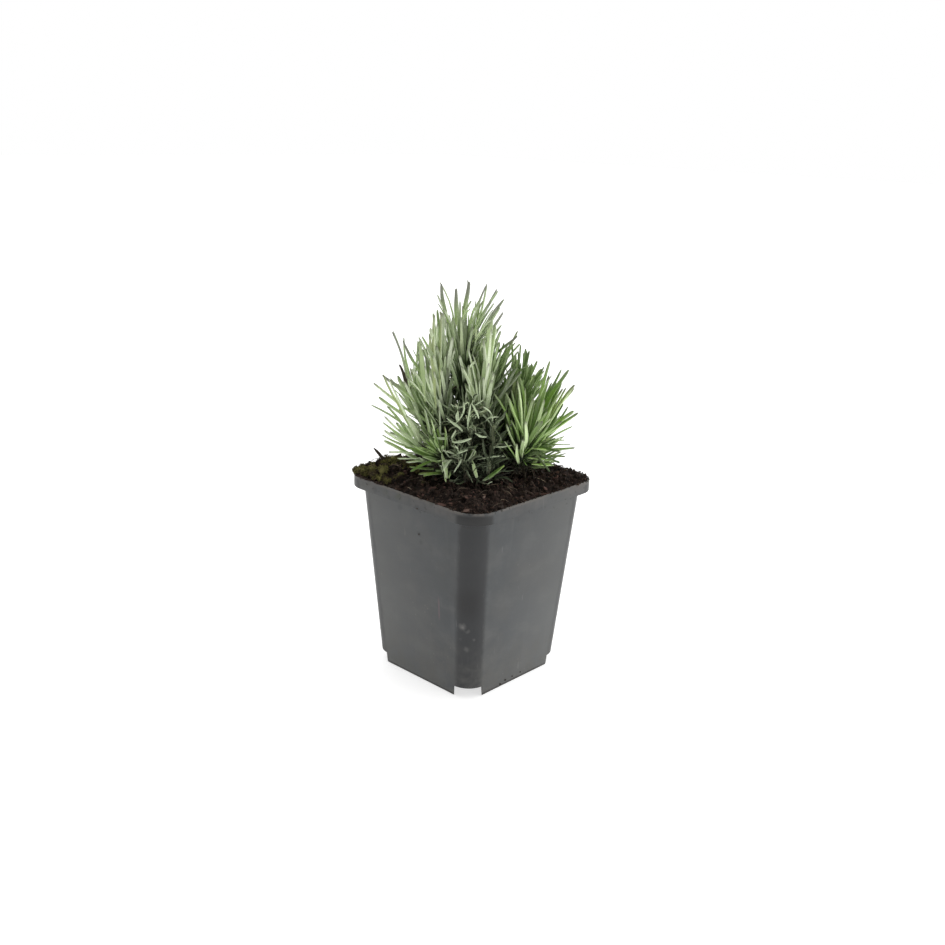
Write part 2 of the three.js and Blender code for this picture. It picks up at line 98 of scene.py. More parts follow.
class Wire:
    """One socket of a node tree, which can be used in sums."""

    def __init__(self, tree, socket):
        self.tree, self.socket = tree, socket

    def maths(self, operation, *values):
        node = self.tree.nodes.new("ShaderNodeMath")
        node.operation = operation
        for socket, value in zip(node.inputs, values):
            plug(self.tree, socket, value)
        return Wire(self.tree, node.outputs[0])

    def __add__(self, other):
        return self.maths("ADD", self, other)

    def __radd__(self, other):
        return self.maths("ADD", other, self)

    def __sub__(self, other):
        return self.maths("SUBTRACT", self, other)

    def __rsub__(self, other):
        return self.maths("SUBTRACT", other, self)

    def __mul__(self, other):
        return self.maths("MULTIPLY", self, other)

    def __rmul__(self, other):
        return self.maths("MULTIPLY", other, self)

    def __abs__(self):
        return self.maths("ABSOLUTE", self)

    def least(self, other):
        return self.maths("MINIMUM", self, other)

# %% Finish
class Finish:
    """A material in the making, with the colour that its coats have built up so far."""

    def __init__(self, name):
        self.material = bpy.data.materials.new(name)
        self.material.use_nodes = True
        self.tree = self.material.node_tree
        self.tree.nodes.clear()
        self.colour = None

    def node(self, kind, settings=None, inputs=None, output=0):
        """Adds a node: its settings first, then its sockets by name or number."""
        made = self.tree.nodes.new(kind)
        for name, value in (settings or {}).items():
            setattr(made, name, value)
        for name, value in (inputs or {}).items():
            plug(self.tree, made.inputs[name], value)
        return Wire(self.tree, made.outputs[output]) if made.outputs else None

    def place(self):
        """Where a point of the surface is, in metres, in the model's own frame."""
        return self.node("ShaderNodeTexCoord", output="Object")

    def axis(self, vector, letter):
        return self.node("ShaderNodeSeparateXYZ", inputs={0: vector}, output=letter)

    def stretched(self, vector, scale):
        return self.node("ShaderNodeVectorMath", {"operation": "MULTIPLY"}, {0: vector, 1: scale})

    def away(self, vector, spot):
        """How far each point is from a spot."""
        return self.node("ShaderNodeVectorMath", {"operation": "DISTANCE"}, {0: vector, 1: spot}, "Value")

    def noise(self, vector, scale, detail=3.0, roughness=0.55):
        inputs = {"Vector": vector, "Scale": scale, "Detail": detail, "Roughness": roughness}
        return self.node("ShaderNodeTexNoise", inputs=inputs, output="Fac")

    def spots(self, vector, scale, output="Distance"):
        return self.node("ShaderNodeTexVoronoi", None, {"Vector": vector, "Scale": scale}, output)

    def number(self, name):
        """A number that the mesh holds at each point, such as how far along its leaf the point is."""
        return self.node("ShaderNodeAttribute", {"attribute_name": name}, output="Fac")

    def ramp(self, value, low, high, to_low=0.0, to_high=1.0):
        """Turns low..high into to_low..to_high with soft ends, and holds it there."""
        inputs = {"Value": value, 1: low, 2: high, 3: to_low, 4: to_high}
        return self.node("ShaderNodeMapRange", {"interpolation_type": "SMOOTHSTEP"}, inputs)

    def mix(self, first, second, share):
        """A colour between two colours. Colours are given as (red, green, blue)."""
        first, second = (c if isinstance(c, Wire) else (*c, 1.0) for c in (first, second))
        settings = {"data_type": "RGBA", "blend_type": "MIX", "clamp_factor": True}
        return self.node("ShaderNodeMix", settings, {0: share, 6: first, 7: second}, output=2)

    def coat(self, colour, share):
        """Lays a coat over the colour so far. It covers the given share of each point."""
        self.colour = self.mix(self.colour, colour, share)

    def bump(self, height, strength, distance):
        inputs = {"Height": height, "Strength": strength, "Distance": distance}
        return self.node("ShaderNodeBump", inputs=inputs)

    def end(self, **sockets):
        """Ends in a Principled shader. Base_Color=... sets the socket Base Color, and so on."""
        named = {name.replace("_", " "): value for name, value in sockets.items()}
        shader = self.node("ShaderNodeBsdfPrincipled", inputs=named)
        self.node("ShaderNodeOutputMaterial", inputs={"Surface": shader})
        print(f"{self.material.name}: {len(self.tree.nodes)} nodes")
        return self.material

# %% [markdown]
# ## The stage
# The light comes from behind and from the sides and is weakest from where the camera stands. That is
# why the rounded corner which faces us is the darkest part of the pot. Soft lamps could give it, but
# they show in gloss. A pale floor with a faint glow of its own and a sky that is dim in front give the
# same light without any lamp.

# %% Floor
FLOOR_REACH = 6  # metres each way, far enough to fill the picture
FLOOR_GREY = (0.60, 0.60, 0.595, 1)
FLOOR_GLOW = 0.66
floor_mesh = bpy.data.meshes.new("floor")
floor_corners = [(x * FLOOR_REACH, y * FLOOR_REACH, 0) for x, y in ((-1, -1), (1, -1), (1, 1), (-1, 1))]
floor_mesh.from_pydata(floor_corners, [], [(0, 1, 2, 3)])
floor = bpy.data.objects.new("floor", floor_mesh)
bpy.context.scene.collection.objects.link(floor)
floor_mesh.materials.append(Finish("lit_table").end(
    Base_Color=FLOOR_GREY, Roughness=0.9, Specular_IOR_Level=0.1,
    Emission_Color=(1, 1, 1, 1), Emission_Strength=FLOOR_GLOW))
print("floor, metres:", 2 * FLOOR_REACH)

# %% Sky
SKY_STRENGTH = 1.75
FRONT_DIMMING = 0.8  # how much weaker the light from the front is
LEFT_TURN = math.radians(30)  # the light is weakest a little to the left of the camera
world = bpy.data.worlds.new("soft studio")
bpy.context.scene.world = world
world.use_nodes = True
world.node_tree.nodes.clear()
sky = Finish("sky_sums")
sky.tree = world.node_tree
direction = sky.node("ShaderNodeTexCoord", output="Generated")
front = Quaternion((0, 0, 1), -LEFT_TURN) @ Vector((to_camera.x, to_camera.y, 0)).normalized()
towards_front = sky.node(
    "ShaderNodeVectorMath", {"operation": "DOT_PRODUCT"}, {0: direction, 1: front}, output="Value")
strength = (1 - sky.ramp(towards_front, -0.1, 0.45) * FRONT_DIMMING) * SKY_STRENGTH
camera_ray = sky.node("ShaderNodeLightPath", output="Is Camera Ray")
seen = strength + camera_ray * (1 - strength)
glow = sky.node("ShaderNodeBackground", inputs={"Color": (1, 1, 1, 1), "Strength": seen})
sky.node("ShaderNodeOutputWorld", inputs={"Surface": glow})
bpy.context.scene.view_settings.view_transform = "Standard"
print("sky, brightest and in front:", SKY_STRENGTH, round(SKY_STRENGTH * (1 - FRONT_DIMMING), 2))

# %% [markdown]
# ## Piling up geometry
# A plant has hundreds of leaves, and each is a small closed skin. Adding an object for each would be
# slow and hard to handle, so a pile collects the points and faces of many of them, with the numbers
# that their material reads, and becomes one object at the end.

# %% Pile
class Pile:
    """Points, faces and per-point numbers of many small bodies that become one object."""

    def __init__(self):
        self.points, self.faces, self.numbers, self.count = [], [], {}, 0

    def add(self, points, faces, **numbers):
        points = np.asarray(points, float)
        self.points.append(points)
        self.faces += [tuple(self.count + i for i in face) for face in faces]
        for name, value in numbers.items():
            self.numbers.setdefault(name, []).append(np.broadcast_to(value, len(points)))
        self.count += len(points)

    def make(self, name, material, replaced=(), smooth=True):
        mesh = bpy.data.meshes.new(name)
        mesh.from_pydata((np.concatenate(self.points) * MM).tolist(), [], self.faces)
        for key, values in self.numbers.items():
            held = mesh.attributes.new(key, "FLOAT", "POINT")
            held.data.foreach_set("value", np.concatenate(values).astype(np.float32))
        mesh.polygons.foreach_set("use_smooth", [smooth] * len(mesh.polygons))
        mesh.materials.append(material)
        piece = bpy.data.objects.new(name, mesh)
        bpy.context.scene.collection.objects.link(piece)
        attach(piece, "root")
        if replaced:
            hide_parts(*replaced)
        print(f"{name}: {len(self.faces)} faces")
        return piece

# %% Skin over rings
def skin(rings):
    """Points and faces of a closed skin over rings of points, each with the same count."""
    rings = np.asarray(rings, float)
    count, size = rings.shape[:2]
    faces = []
    for k in range(count - 1):
        for i in range(size):
            j = (i + 1) % size
            faces.append((k * size + i, k * size + j, (k + 1) * size + j, (k + 1) * size + i))
    faces.append(tuple(range(size - 1, -1, -1)))
    faces.append(tuple((count - 1) * size + i for i in range(size)))
    return rings.reshape(-1, 3), faces

# %% [markdown]
# ## The pot
# The pot is blown from dark recycled plastic: a thin tapered wall with rounded corners, a collar, and
# channels under the floor that run out as a notch in each corner. It could be boxes with bevels, but
# rings of the same rounded square, one for each level, keep every corner truly round. The channels and
# the drainage holes are then cut out.

# %% Rounded squares
POT_HEIGHT, RIM_SIDE, RIM_HEIGHT, RIM_FACE, RIM_RADIUS = 100, 90, 6.9, 5.6, 13
BODY_TOP_SIDE, BODY_TOP_RADIUS = 81.5, 11
FOOT_SIDE, FOOT_RADIUS = 67, 10
WALL, FLOOR_THICKNESS = 1.2, 1.4
shoulder = POT_HEIGHT - RIM_HEIGHT
collar_foot = POT_HEIGHT - RIM_FACE


def rounded_square(side, radius, z, side_steps=6, corner_steps=16):
    """The outline of a square with rounded corners, counter-clockwise from above."""
    reach = side / 2 - radius
    ring = []
    for corner, (cx, cy) in enumerate(((1, 1), (-1, 1), (-1, -1), (1, -1))):
        angles = (corner + np.arange(corner_steps + 1) / corner_steps) * math.pi / 2
        arc = np.stack([cx * reach + radius * np.cos(angles), cy * reach + radius * np.sin(angles)], 1)
        run = np.array(((-1, 0), (0, -1), (1, 0), (0, 1))[corner]) * 2 * reach
        steps = np.arange(1, side_steps)[:, None] / side_steps
        ring += [arc, arc[-1] + steps * run]
    ring = np.concatenate(ring)
    return np.column_stack([ring, np.full(len(ring), z)])


def body_ring(z, inset, **steps):
    """The tapered body's outline at a height, moved in by an inset."""
    share = z / shoulder
    side = FOOT_SIDE + (BODY_TOP_SIDE - FOOT_SIDE) * share
    radius = FOOT_RADIUS + (BODY_TOP_RADIUS - FOOT_RADIUS) * share
    return rounded_square(side - 2 * inset, radius - inset, z, **steps)


def rim_ring(z, inset, **steps):
    """The collar's outline at a height, moved in by an inset."""
    return rounded_square(RIM_SIDE - 2 * inset, RIM_RADIUS - inset, z, **steps)

# %% Pot mesh
COLLAR_REACH = (RIM_SIDE - BODY_TOP_SIDE) / 2
FOOT_EDGE = ((0, 0.7), (0.2, 0.25), (0.7, 0))  # height and inset of each ring
LIP = ((0.5, 0), (0.15, 0.13), (0, 0.45), (0.03, WALL - 0.35), (0.35, WALL - 0.05))  # drop and inset
BODY_RINGS, UNDERSIDE_RINGS = 24, 10
pot_rings = [body_ring(z, inset) for z, inset in FOOT_EDGE]
pot_rings += [body_ring(z, 0) for z in np.linspace(4, shoulder - 0.8, BODY_RINGS)]
for share in np.linspace(0, 1, UNDERSIDE_RINGS):
    bulge = 0.5 * share + 0.5 * share * share * (3 - 2 * share)
    level = shoulder - 0.2 + (collar_foot + 0.2 - shoulder) * share
    pot_rings.append(rim_ring(level, COLLAR_REACH * (1 - bulge)))
pot_rings.append(rim_ring(collar_foot + 0.4, 0))
pot_rings += [rim_ring(POT_HEIGHT - drop, inset) for drop, inset in LIP]
pot_rings += [rim_ring(collar_foot + WALL, WALL), body_ring(shoulder + WALL, WALL)]
pot_rings += [body_ring(z, WALL) for z in (60, 30, FLOOR_THICKNESS)]
pot_pile = Pile()
pot_pile.add(*skin(pot_rings))
print("pot, rings and points:", len(pot_rings), pot_pile.count)

# %% [markdown]
# ### The pot's plastic
# Recycled plastic is not one grey. The flat sides have a milky bloom and the rounded corners do not, and
# the corners carry painted shade too, so they are darker. There are cloudy patches, faint streaks drawn
# down the wall by the mould, painted light on the sides, dust with painted bounce light near the foot,
# dust on the lip, scuffs and dried spots. A picture of a real pot could be wrapped round it, but sums of
# noise stay sharp at any distance and need no image. The finish is built in coats, as a painter would:
# each has a colour, and a share of each point that it covers.

# %% Plastic: patches and streaks
SLATE, GREY = (0.056, 0.061, 0.065), (0.068, 0.070, 0.070)
MILKY, STREAK = (0.080, 0.082, 0.081), (0.115, 0.116, 0.114)
DULL_PATCH, PALE_PATCH = (0.045, 0.049, 0.053), (0.098, 0.100, 0.099)

plastic = Finish("pot_plastic")
where = plastic.place()
right, back, height = (plastic.axis(where, letter) for letter in "XYZ")
clouds = plastic.noise(where, 42, 3)
wisps = plastic.noise(plastic.stretched(where, (1, 1, 0.7)), 70, 3)
streaks = plastic.noise(plastic.stretched(where, (300, 300, 7)), 1.0, 2)
mottle = plastic.noise(plastic.stretched(where, (1, 1, 1.6)), 55, 4)
plastic.colour = plastic.mix(SLATE, GREY, plastic.ramp(clouds, 0.36, 0.62))
plastic.coat(MILKY, plastic.ramp(wisps, 0.45, 0.75) * 0.4)
plastic.coat(STREAK, plastic.ramp(streaks, 0.56, 0.78) * 0.2)
plastic.coat(DULL_PATCH, plastic.ramp(mottle, 0.52, 0.36) * 0.35)
plastic.coat(PALE_PATCH, plastic.ramp(mottle, 0.50, 0.66) * 0.35)

# %% [markdown]
# The next coats follow the shape. The sides get painted light, more of it the further they are from the
# corner that faces us. The rounded corners have no bloom at all, and their dark coat is painted shade as
# well. A point lies on one of them where both its distances from the middle are more than half the flat
# part of a side, a limit that grows with height.

# %% Plastic: painted light on the sides and painted shade on the corners
# painted light for the flat sides, and a dark corner colour that is partly painted shade
FAR_SIDE_LIGHT, BLOOMLESS_AND_SHADED = (0.132, 0.134, 0.129), (0.020, 0.021, 0.023)
COLLAR_START = (0.0931, 0.0945)  # metres, from the top of the body to the foot of the collar

# painted light: the sides are lighter the further they are from the corner that faces us
plastic.coat(FAR_SIDE_LIGHT, plastic.ramp(right - back, 0.066, -0.004) * 0.62)
nearest = abs(right).least(abs(back))
foot_flat = FOOT_SIDE / 2 - FOOT_RADIUS
top_flat = BODY_TOP_SIDE / 2 - BODY_TOP_RADIUS
flat = foot_flat * MM + height * ((top_flat - foot_flat) / shoulder)
flat = flat + plastic.ramp(height, *COLLAR_START) * 0.0024
fringe = (plastic.noise(where, 260, 3) - 0.5) * 0.0016
corner = plastic.ramp(nearest - flat + fringe, -0.0006, 0.0026) * plastic.ramp(height, 0.0995, 0.0978)
# the rounded corners: no bloom, and painted shade of the dark corner column
plastic.coat(BLOOMLESS_AND_SHADED, corner * (0.72 + wisps * 0.26))

# %% [markdown]
# Painted shade darkens the middle of the corner that faces us and the collar above it. Handling leaves
# marks: soft smudges, the pale edges of dried drops, a faint reddish scratch, pale specks and scuffs.
# Each smudge, the shade under the lip and each drop is a round spot of its own at a place on the wall,
# with an edge that the fringe noise makes uneven.

# %% Plastic: painted corner shade, smudges and drops
# the first colour, with its place and height, is painted shade on the corner that faces us; the second
# also paints the shade under that corner's lip
NEAR_CORNER_SHADE, SMUDGE_AND_SHADE_GREY, DRIED = (0.017, 0.017, 0.018), (0.030, 0.030, 0.032), (0.26, 0.25, 0.24)
NEAR_CORNER_SHADE_PLACE, NEAR_CORNER_SHADE_HEIGHT = Vector((33.4, -35.6, 0)) * MM, 0.052
SMUDGES_AND_SHADE = (  # place and size in millimetres, and how dark
    ((-21.5, -45, 96.6), 2.6, 0.4), ((-11.4, -45, 95.0), 1.8, 0.4), ((-8.5, -40.6, 90.4), 2.4, 0.3),
    ((4.0, -39.8, 79.9), 2.0, 0.45), ((5.1, -39.5, 76.1), 1.8, 0.35), ((7.9, -45, 94.9), 2.6, 0.55),
    ((22.9, -45, 97.3), 1.6, 0.35), ((28.1, -45, 97.7), 1.6, 0.3), ((11.2, -39.5, 74.8), 3.2, 0.2),
    # the last spot is painted shade under the lip of the corner that faces us, the others are smudges
    ((42.0, -40.4, 96.8), 7.5, 0.7),
)
DROPS = (  # place and size in millimetres, and how pale
    ((30.4, -35.9, 39.4), 2.5, 0.6), ((32.6, -34.2, 37.3), 1.4, 0.16), ((31.4, -33.9, 27.3), 2.0, 0.2),
    ((34.3, -31.7, 32.9), 1.2, 0.16), ((29.3, -36.4, 32.8), 1.4, 0.2),
)

# painted shade on the middle of the corner that faces us
beside = plastic.away(plastic.stretched(where, (1, 1, 0)), NEAR_CORNER_SHADE_PLACE)
near_corner_shade_mask = plastic.ramp(abs(height - NEAR_CORNER_SHADE_HEIGHT), 0.012, 0.002) * plastic.ramp(beside, 0.009, 0.002)
plastic.coat(NEAR_CORNER_SHADE, near_corner_shade_mask * plastic.ramp(wisps, 0.25, 0.5) * 0.85)
for spot, size, strength in SMUDGES_AND_SHADE:
    from_spot = plastic.away(where, Vector(spot) * MM) + fringe
    plastic.coat(SMUDGE_AND_SHADE_GREY, plastic.ramp(from_spot, size * MM, size * 0.25 * MM) * strength)
for spot, size, strength in DROPS:
    from_spot = plastic.away(where, Vector(spot) * MM) + fringe * 2
    plastic.coat(DRIED, plastic.ramp(from_spot, size * MM, 0.0) * strength)

# %% Plastic: scratch, specks and scuffs
SCRATCHED, SPECK, SCUFF = (0.15, 0.095, 0.105), (0.17, 0.165, 0.155), (0.16, 0.16, 0.155)
SCRATCH_RIGHT, SCRATCH_HEIGHT, SCRATCH_REACH = 0.0157, 0.0445, 0.0075  # metres, on the left side

scratch = plastic.ramp(abs(right - SCRATCH_RIGHT), 0.0008, 0.0002)
scratch = scratch * plastic.ramp(abs(height - SCRATCH_HEIGHT), SCRATCH_REACH, 0.003)
scratch = scratch * plastic.ramp(back, -0.030, -0.032)
plastic.coat(SCRATCHED, scratch * 0.5)
specks = plastic.ramp(plastic.spots(where, 300), 0.17, 0.05) * plastic.ramp(clouds, 0.5, 0.62)
plastic.coat(SPECK, specks * (1 - corner) * 0.45)
scuffs = plastic.noise(plastic.stretched(where, (900, 900, 60)), 1.0, 1)
scuffed = plastic.ramp(scuffs, 0.70, 0.78) * plastic.ramp(plastic.noise(where, 55, 2), 0.5, 0.62)
plastic.coat(SCUFF, scuffed * 0.35)

# %% [markdown]
# The last coats each lie at their own height: dust and painted bounce light on the lower wall, a dark
# band at the very foot, a pale bloom, algae and peat on the collar, dust on the lip, and painted shade
# over the upper part and on the collar, most at the corners.

# %% Plastic: dust, painted bounce light and painted shade
# dust with painted bounce light for the lower wall, a dark band for the foot, painted shade for the upper
# part
DUST_AND_BOUNCE_LIGHT, FOOT_DARK, UPPER_SHADE = (0.125, 0.122, 0.112), (0.022, 0.020, 0.018), (0.016, 0.016, 0.015)
COLLAR_BLOOM, LIP_DUST = (0.150, 0.135, 0.125), (0.20, 0.180, 0.160)
ALGAE, PEAT_DUST = (0.060, 0.066, 0.040), (0.024, 0.020, 0.018)

dust = plastic.noise(where, 170, 4)
# painted bounce light from the floor, broken up like dust, lightens the lower wall
low_dust_and_bounce = plastic.ramp(height, 0.036, 0.0) * plastic.ramp(dust, 0.3, 0.7)
plastic.coat(DUST_AND_BOUNCE_LIGHT, low_dust_and_bounce * 0.5)
# darker in a thin band at the very foot
plastic.coat(FOOT_DARK, plastic.ramp(height, 0.0019, 0.0009) * plastic.ramp(dust, 0.2, 0.5, 0.6, 1.0) * 0.85)
bloom = plastic.ramp(height, 0.0935, 0.0985) * plastic.ramp(plastic.noise(where, 60, 4), 0.40, 0.62)
plastic.coat(COLLAR_BLOOM, bloom * (1 - corner) * 0.45)
lip = plastic.ramp(height, 0.0986, 0.0998) * plastic.ramp(dust, 0.35, 0.6) * (1 - corner * 0.8)
plastic.coat(LIP_DUST, lip * 0.6)
algae = plastic.ramp(height, 0.0945, 0.0985) * plastic.ramp(plastic.noise(where, 90, 3), 0.55, 0.7)
plastic.coat(ALGAE, algae * 0.6)
peat_dust = plastic.ramp(height, 0.085, 0.097) * plastic.ramp(plastic.noise(where, 420, 3), 0.62, 0.70)
plastic.coat(PEAT_DUST, peat_dust * 0.8)
# painted shade: the upper wall darker, and the collar darker still, most at the corners
upper_shade = plastic.ramp(height, 0.03, 0.06) * 0.13
upper_shade = upper_shade + plastic.ramp(height, *COLLAR_START) * (corner * 0.42 + 0.07)
plastic.coat(UPPER_SHADE, upper_shade)

# %% Plastic: relief and gloss
relief = plastic.noise(where, 1500, 2) * 0.3 + streaks * 0.4 + clouds * 1.5 + peat_dust
roughness = 0.44 + clouds * 0.12 + low_dust_and_bounce * 0.2 + lip * 0.2 - corner * 0.08
pot_plastic = plastic.end(
    Base_Color=plastic.colour, Roughness=roughness, IOR=1.5, Specular_IOR_Level=0.36,
    Normal=plastic.bump(relief, 0.25, 0.0002))

# %% [markdown]
# ### Channels and drainage holes
# Water runs off below the pot through two channels that cross from corner to corner. In the mould each
# is a raised roof in the floor. So a bar with the roof's outline is joined to the pot first, cut to the
# inside of the wall, and then a thinner bar is cut out of it. A drill cuts the five holes.

# %% Cutting tools
def helper(name, shape):
    """An object that only cuts or joins, from a bmesh."""
    mesh = bpy.data.meshes.new(name)
    shape.to_mesh(mesh)
    shape.free()
    made = bpy.data.objects.new(name, mesh)
    bpy.context.scene.collection.objects.link(made)
    return made


def bar(width, bottom, top, turn):
    """A bar under the pot from corner to corner."""
    shape = bmesh.new()
    bmesh.ops.create_cube(shape, size=1)
    bmesh.ops.scale(shape, vec=Vector((RIM_SIDE * 1.5, width, top - bottom)) * MM, verts=shape.verts)
    bmesh.ops.translate(shape, vec=(0, 0, (top + bottom) / 2 * MM), verts=shape.verts)
    upright = Quaternion((0, 0, 1), turn).to_matrix()
    bmesh.ops.rotate(shape, cent=(0, 0, 0), verts=shape.verts, matrix=upright)
    return helper("bar", shape)


def filling(inset, bottom, top):
    """The space inside the pot's outline."""
    shape = bmesh.new()
    mesh = bpy.data.meshes.new("filling")
    points, faces = skin([body_ring(bottom, inset), body_ring(top, inset)])
    mesh.from_pydata((points * MM).tolist(), [], faces)
    shape.from_mesh(mesh)
    return helper("filling", shape)


def drill(x, y, radius):
    """An upright rod that is longer than the floor is thick."""
    shape = bmesh.new()
    bmesh.ops.create_cone(shape, cap_ends=True, segments=40, radius1=radius * MM, radius2=radius * MM,
                          depth=0.02)
    bmesh.ops.translate(shape, vec=(x * MM, y * MM, 0), verts=shape.verts)
    return helper("drill", shape)


def carve(piece, tool, operation):
    """Joins a helper to a piece, or cuts it out, and removes the helper."""
    step = piece.modifiers.new("carve", "BOOLEAN")
    step.operation, step.solver, step.object = operation, "EXACT", tool
    graph = bpy.context.evaluated_depsgraph_get()
    result = bpy.data.meshes.new_from_object(piece.evaluated_get(graph))
    piece.modifiers.clear()
    piece.data = result
    bpy.data.objects.remove(tool)

# %% Cut pot
CHANNEL_WIDTH, CHANNEL_HEIGHT = 13.4, 5.5
DRAIN_RADIUS, DRAIN_FROM_CENTRE = 4, 29
ROOF_WIDTH = CHANNEL_WIDTH + 2 * FLOOR_THICKNESS
ROOF_TOP = CHANNEL_HEIGHT + FLOOR_THICKNESS
DIAGONALS = (math.pi / 4, -math.pi / 4)
SHARP_EDGE = math.radians(35)

pot = pot_pile.make("pot_shell", pot_plastic, ["pot"])
for turn in DIAGONALS:
    roof = bar(ROOF_WIDTH, 0.4, ROOF_TOP, turn)
    carve(roof, filling(0.6, -2, shoulder), "INTERSECT")
    carve(pot, roof, "UNION")
for turn in DIAGONALS:
    carve(pot, bar(CHANNEL_WIDTH, -1, CHANNEL_HEIGHT, turn), "DIFFERENCE")
carve(pot, drill(0, 0, DRAIN_RADIUS), "DIFFERENCE")
for quarter in range(4):
    angle = math.pi / 4 + quarter * math.pi / 2
    x, y = DRAIN_FROM_CENTRE * math.cos(angle), DRAIN_FROM_CENTRE * math.sin(angle)
    carve(pot, drill(x, y, DRAIN_RADIUS), "DIFFERENCE")
pot.data.shade_smooth()
pot.data.set_sharp_from_angle(angle=SHARP_EDGE)
print("pot, faces after cutting:", len(pot.data.polygons))

# %% [markdown]
# ## The plant's own frame
# The plant is laid out as the camera sees it: how far right, how far towards the front and how high
# above the rim. One turn of 45 degrees brings it into the pot's frame. The draws are a small hash, so
# every leaf keeps its place however many leaves come before it.

# %% Places and draws
QUARTER = math.sqrt(0.5)
TO_POT = np.array(((QUARTER, -QUARTER, 0), (QUARTER, QUARTER, 0), (0, 0, 1)))
HASH_START, HASH_STEP, HASH_SPREAD, HASH_END = 2166136261, 16777619, 2246822519, 2 ** 32


def place(right, front, rise):
    """A place in the plant's frame, in millimetres: right, to the front and above the rim."""
    return np.array((right, -front, POT_HEIGHT + rise), float)


def in_pot(points):
    """Points of the plant's frame in the pot's frame."""
    return np.asarray(points) @ TO_POT.T


def draw(*keys):
    """A repeatable number from 0 to 1 for a stem, a leaf and a purpose."""
    mixed = HASH_START
    for key in keys:
        mixed = (mixed ^ (key + 101)) * HASH_STEP % HASH_END
        mixed = (mixed ^ (mixed >> 15)) * HASH_SPREAD % HASH_END
        mixed ^= mixed >> 13
    return mixed / HASH_END


def between(low, high, *keys):
    return low + (high - low) * draw(*keys)


def smoothstep(x, low, high):
    t = np.clip((x - low) / (high - low), 0, 1)
    return t * t * (3 - 2 * t)


def unit(v):
    return v / np.linalg.norm(v)


print("three draws:", [round(draw(stem, 0, 1), 3) for stem in range(3)])

# %% [markdown]
# ## The peat
# Peat is a heap of crumbs. A smooth plane with a bump map would look painted at this distance, so the
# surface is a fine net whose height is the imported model's own formula plus clods and grit, and loose
# crumbs, bark chips and fibres lie on it.

# %% Height of the peat
SOIL_EDGE, SHOULDER, CROWN, CLOD, HEAP = 99.3, 2.6, 1.4, 1.1, 3
HEAP_X, HEAP_Y, HEAP_SPREAD = -32, -31, 220


def soil_height(x, y):
    """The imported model's own height of the peat: a crown, a heap at the left and soft lumps."""
    from_edge = 1 - np.maximum(np.abs(x), np.abs(y)) / (RIM_SIDE / 2 - WALL)
    rise = smoothstep(from_edge, 0, 0.22)
    heap = HEAP * np.exp(-((x - HEAP_X) ** 2 + (y - HEAP_Y) ** 2) / HEAP_SPREAD)
    lumps = np.sin(0.71 * x + 1.7 * np.sin(0.33 * y)) * np.sin(0.63 * y + 1.4 * np.sin(0.29 * x))
    lumps = lumps + 0.6 * np.sin(1.31 * x - 0.6 * y + 2) * np.sin(0.97 * y + 0.8 * x)
    return SOIL_EDGE + rise * (SHOULDER + CROWN * from_edge + heap + CLOD * lumps)


print("peat, height in the middle and on the heap, mm:",
      [round(float(soil_height(x, y)), 1) for x, y in ((0.0, 0.0), (HEAP_X, HEAP_Y))])

# %% Clods
CLODS = 1500
CLOD_STEEPNESS, CLOD_SUNK = 0.62, 0.45
random = np.random.default_rng(7)
clod_places = random.uniform(-RIM_SIDE / 2, RIM_SIDE / 2, (CLODS, 2))
clod_sizes = random.uniform(0.6, 1.0, CLODS) ** 3 * 2.6


def clods(x, y):
    """Small relief of the peat: round lumps of many sizes half sunk in it, in millimetres."""
    height = np.zeros_like(x)
    for (cx, cy), size in zip(clod_places, clod_sizes):
        close = np.abs(x - cx) < size
        near = close & (np.abs(y - cy) < size)
        inside = 1 - ((x[near] - cx) ** 2 + (y[near] - cy) ** 2) / size ** 2
        lump = CLOD_STEEPNESS * size * np.sqrt(np.clip(inside, 0, 1))
        height[near] = np.maximum(height[near], lump)
    return height - CLOD_SUNK


def peat_top(x, y):
    """The rough surface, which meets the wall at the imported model's height."""
    from_wall = RIM_SIDE / 2 - WALL - np.maximum(np.abs(x), np.abs(y))
    return soil_height(x, y) + clods(x, y) * smoothstep(from_wall, 0, 1.6)


print("clods, largest in mm:", round(clod_sizes.max(), 2))

# %% [markdown]
# ### The peat's finish
# Wet peat is nearly black and scatters light with no gloss. Two sizes of noise mix a deep and a brighter
# brown, and one cell in ten of a fine mosaic becomes a reddish fleck of bark. The same noise bumps the
# surface, so dark and bright grains also stand in and out.

# %% Peat finish
PEAT_DEEP, PEAT_BRIGHT = (0.0075, 0.0055, 0.0045), (0.037, 0.023, 0.018)
PEAT_FLECK, FLECK_SHARE = (0.10, 0.058, 0.042), 0.10

peat = Finish("peat")
where = peat.place()
grains = peat.noise(where, 380, 4)
fine = peat.noise(where, 1500, 3)
flecks = peat.axis(peat.spots(where, 850, output="Color"), "X")
peat.colour = peat.mix(PEAT_DEEP, PEAT_BRIGHT, peat.ramp(grains * 0.7 + fine * 0.3, 0.40, 0.66))
peat.coat(PEAT_FLECK, peat.ramp(flecks, 1 - FLECK_SHARE, 1.0) * 0.8)
peat_material = peat.end(Base_Color=peat.colour, Roughness=0.95, Specular_IOR_Level=0.12,
                         Normal=peat.bump(grains + fine * 0.6, 0.9, 0.0006))

# %% Peat net
GAP = 0.35  # clearance between pieces that touch
SOIL_INSET = WALL + GAP
SOIL_RINGS, SOIL_STEPS = 96, dict(side_steps=96, corner_steps=24)

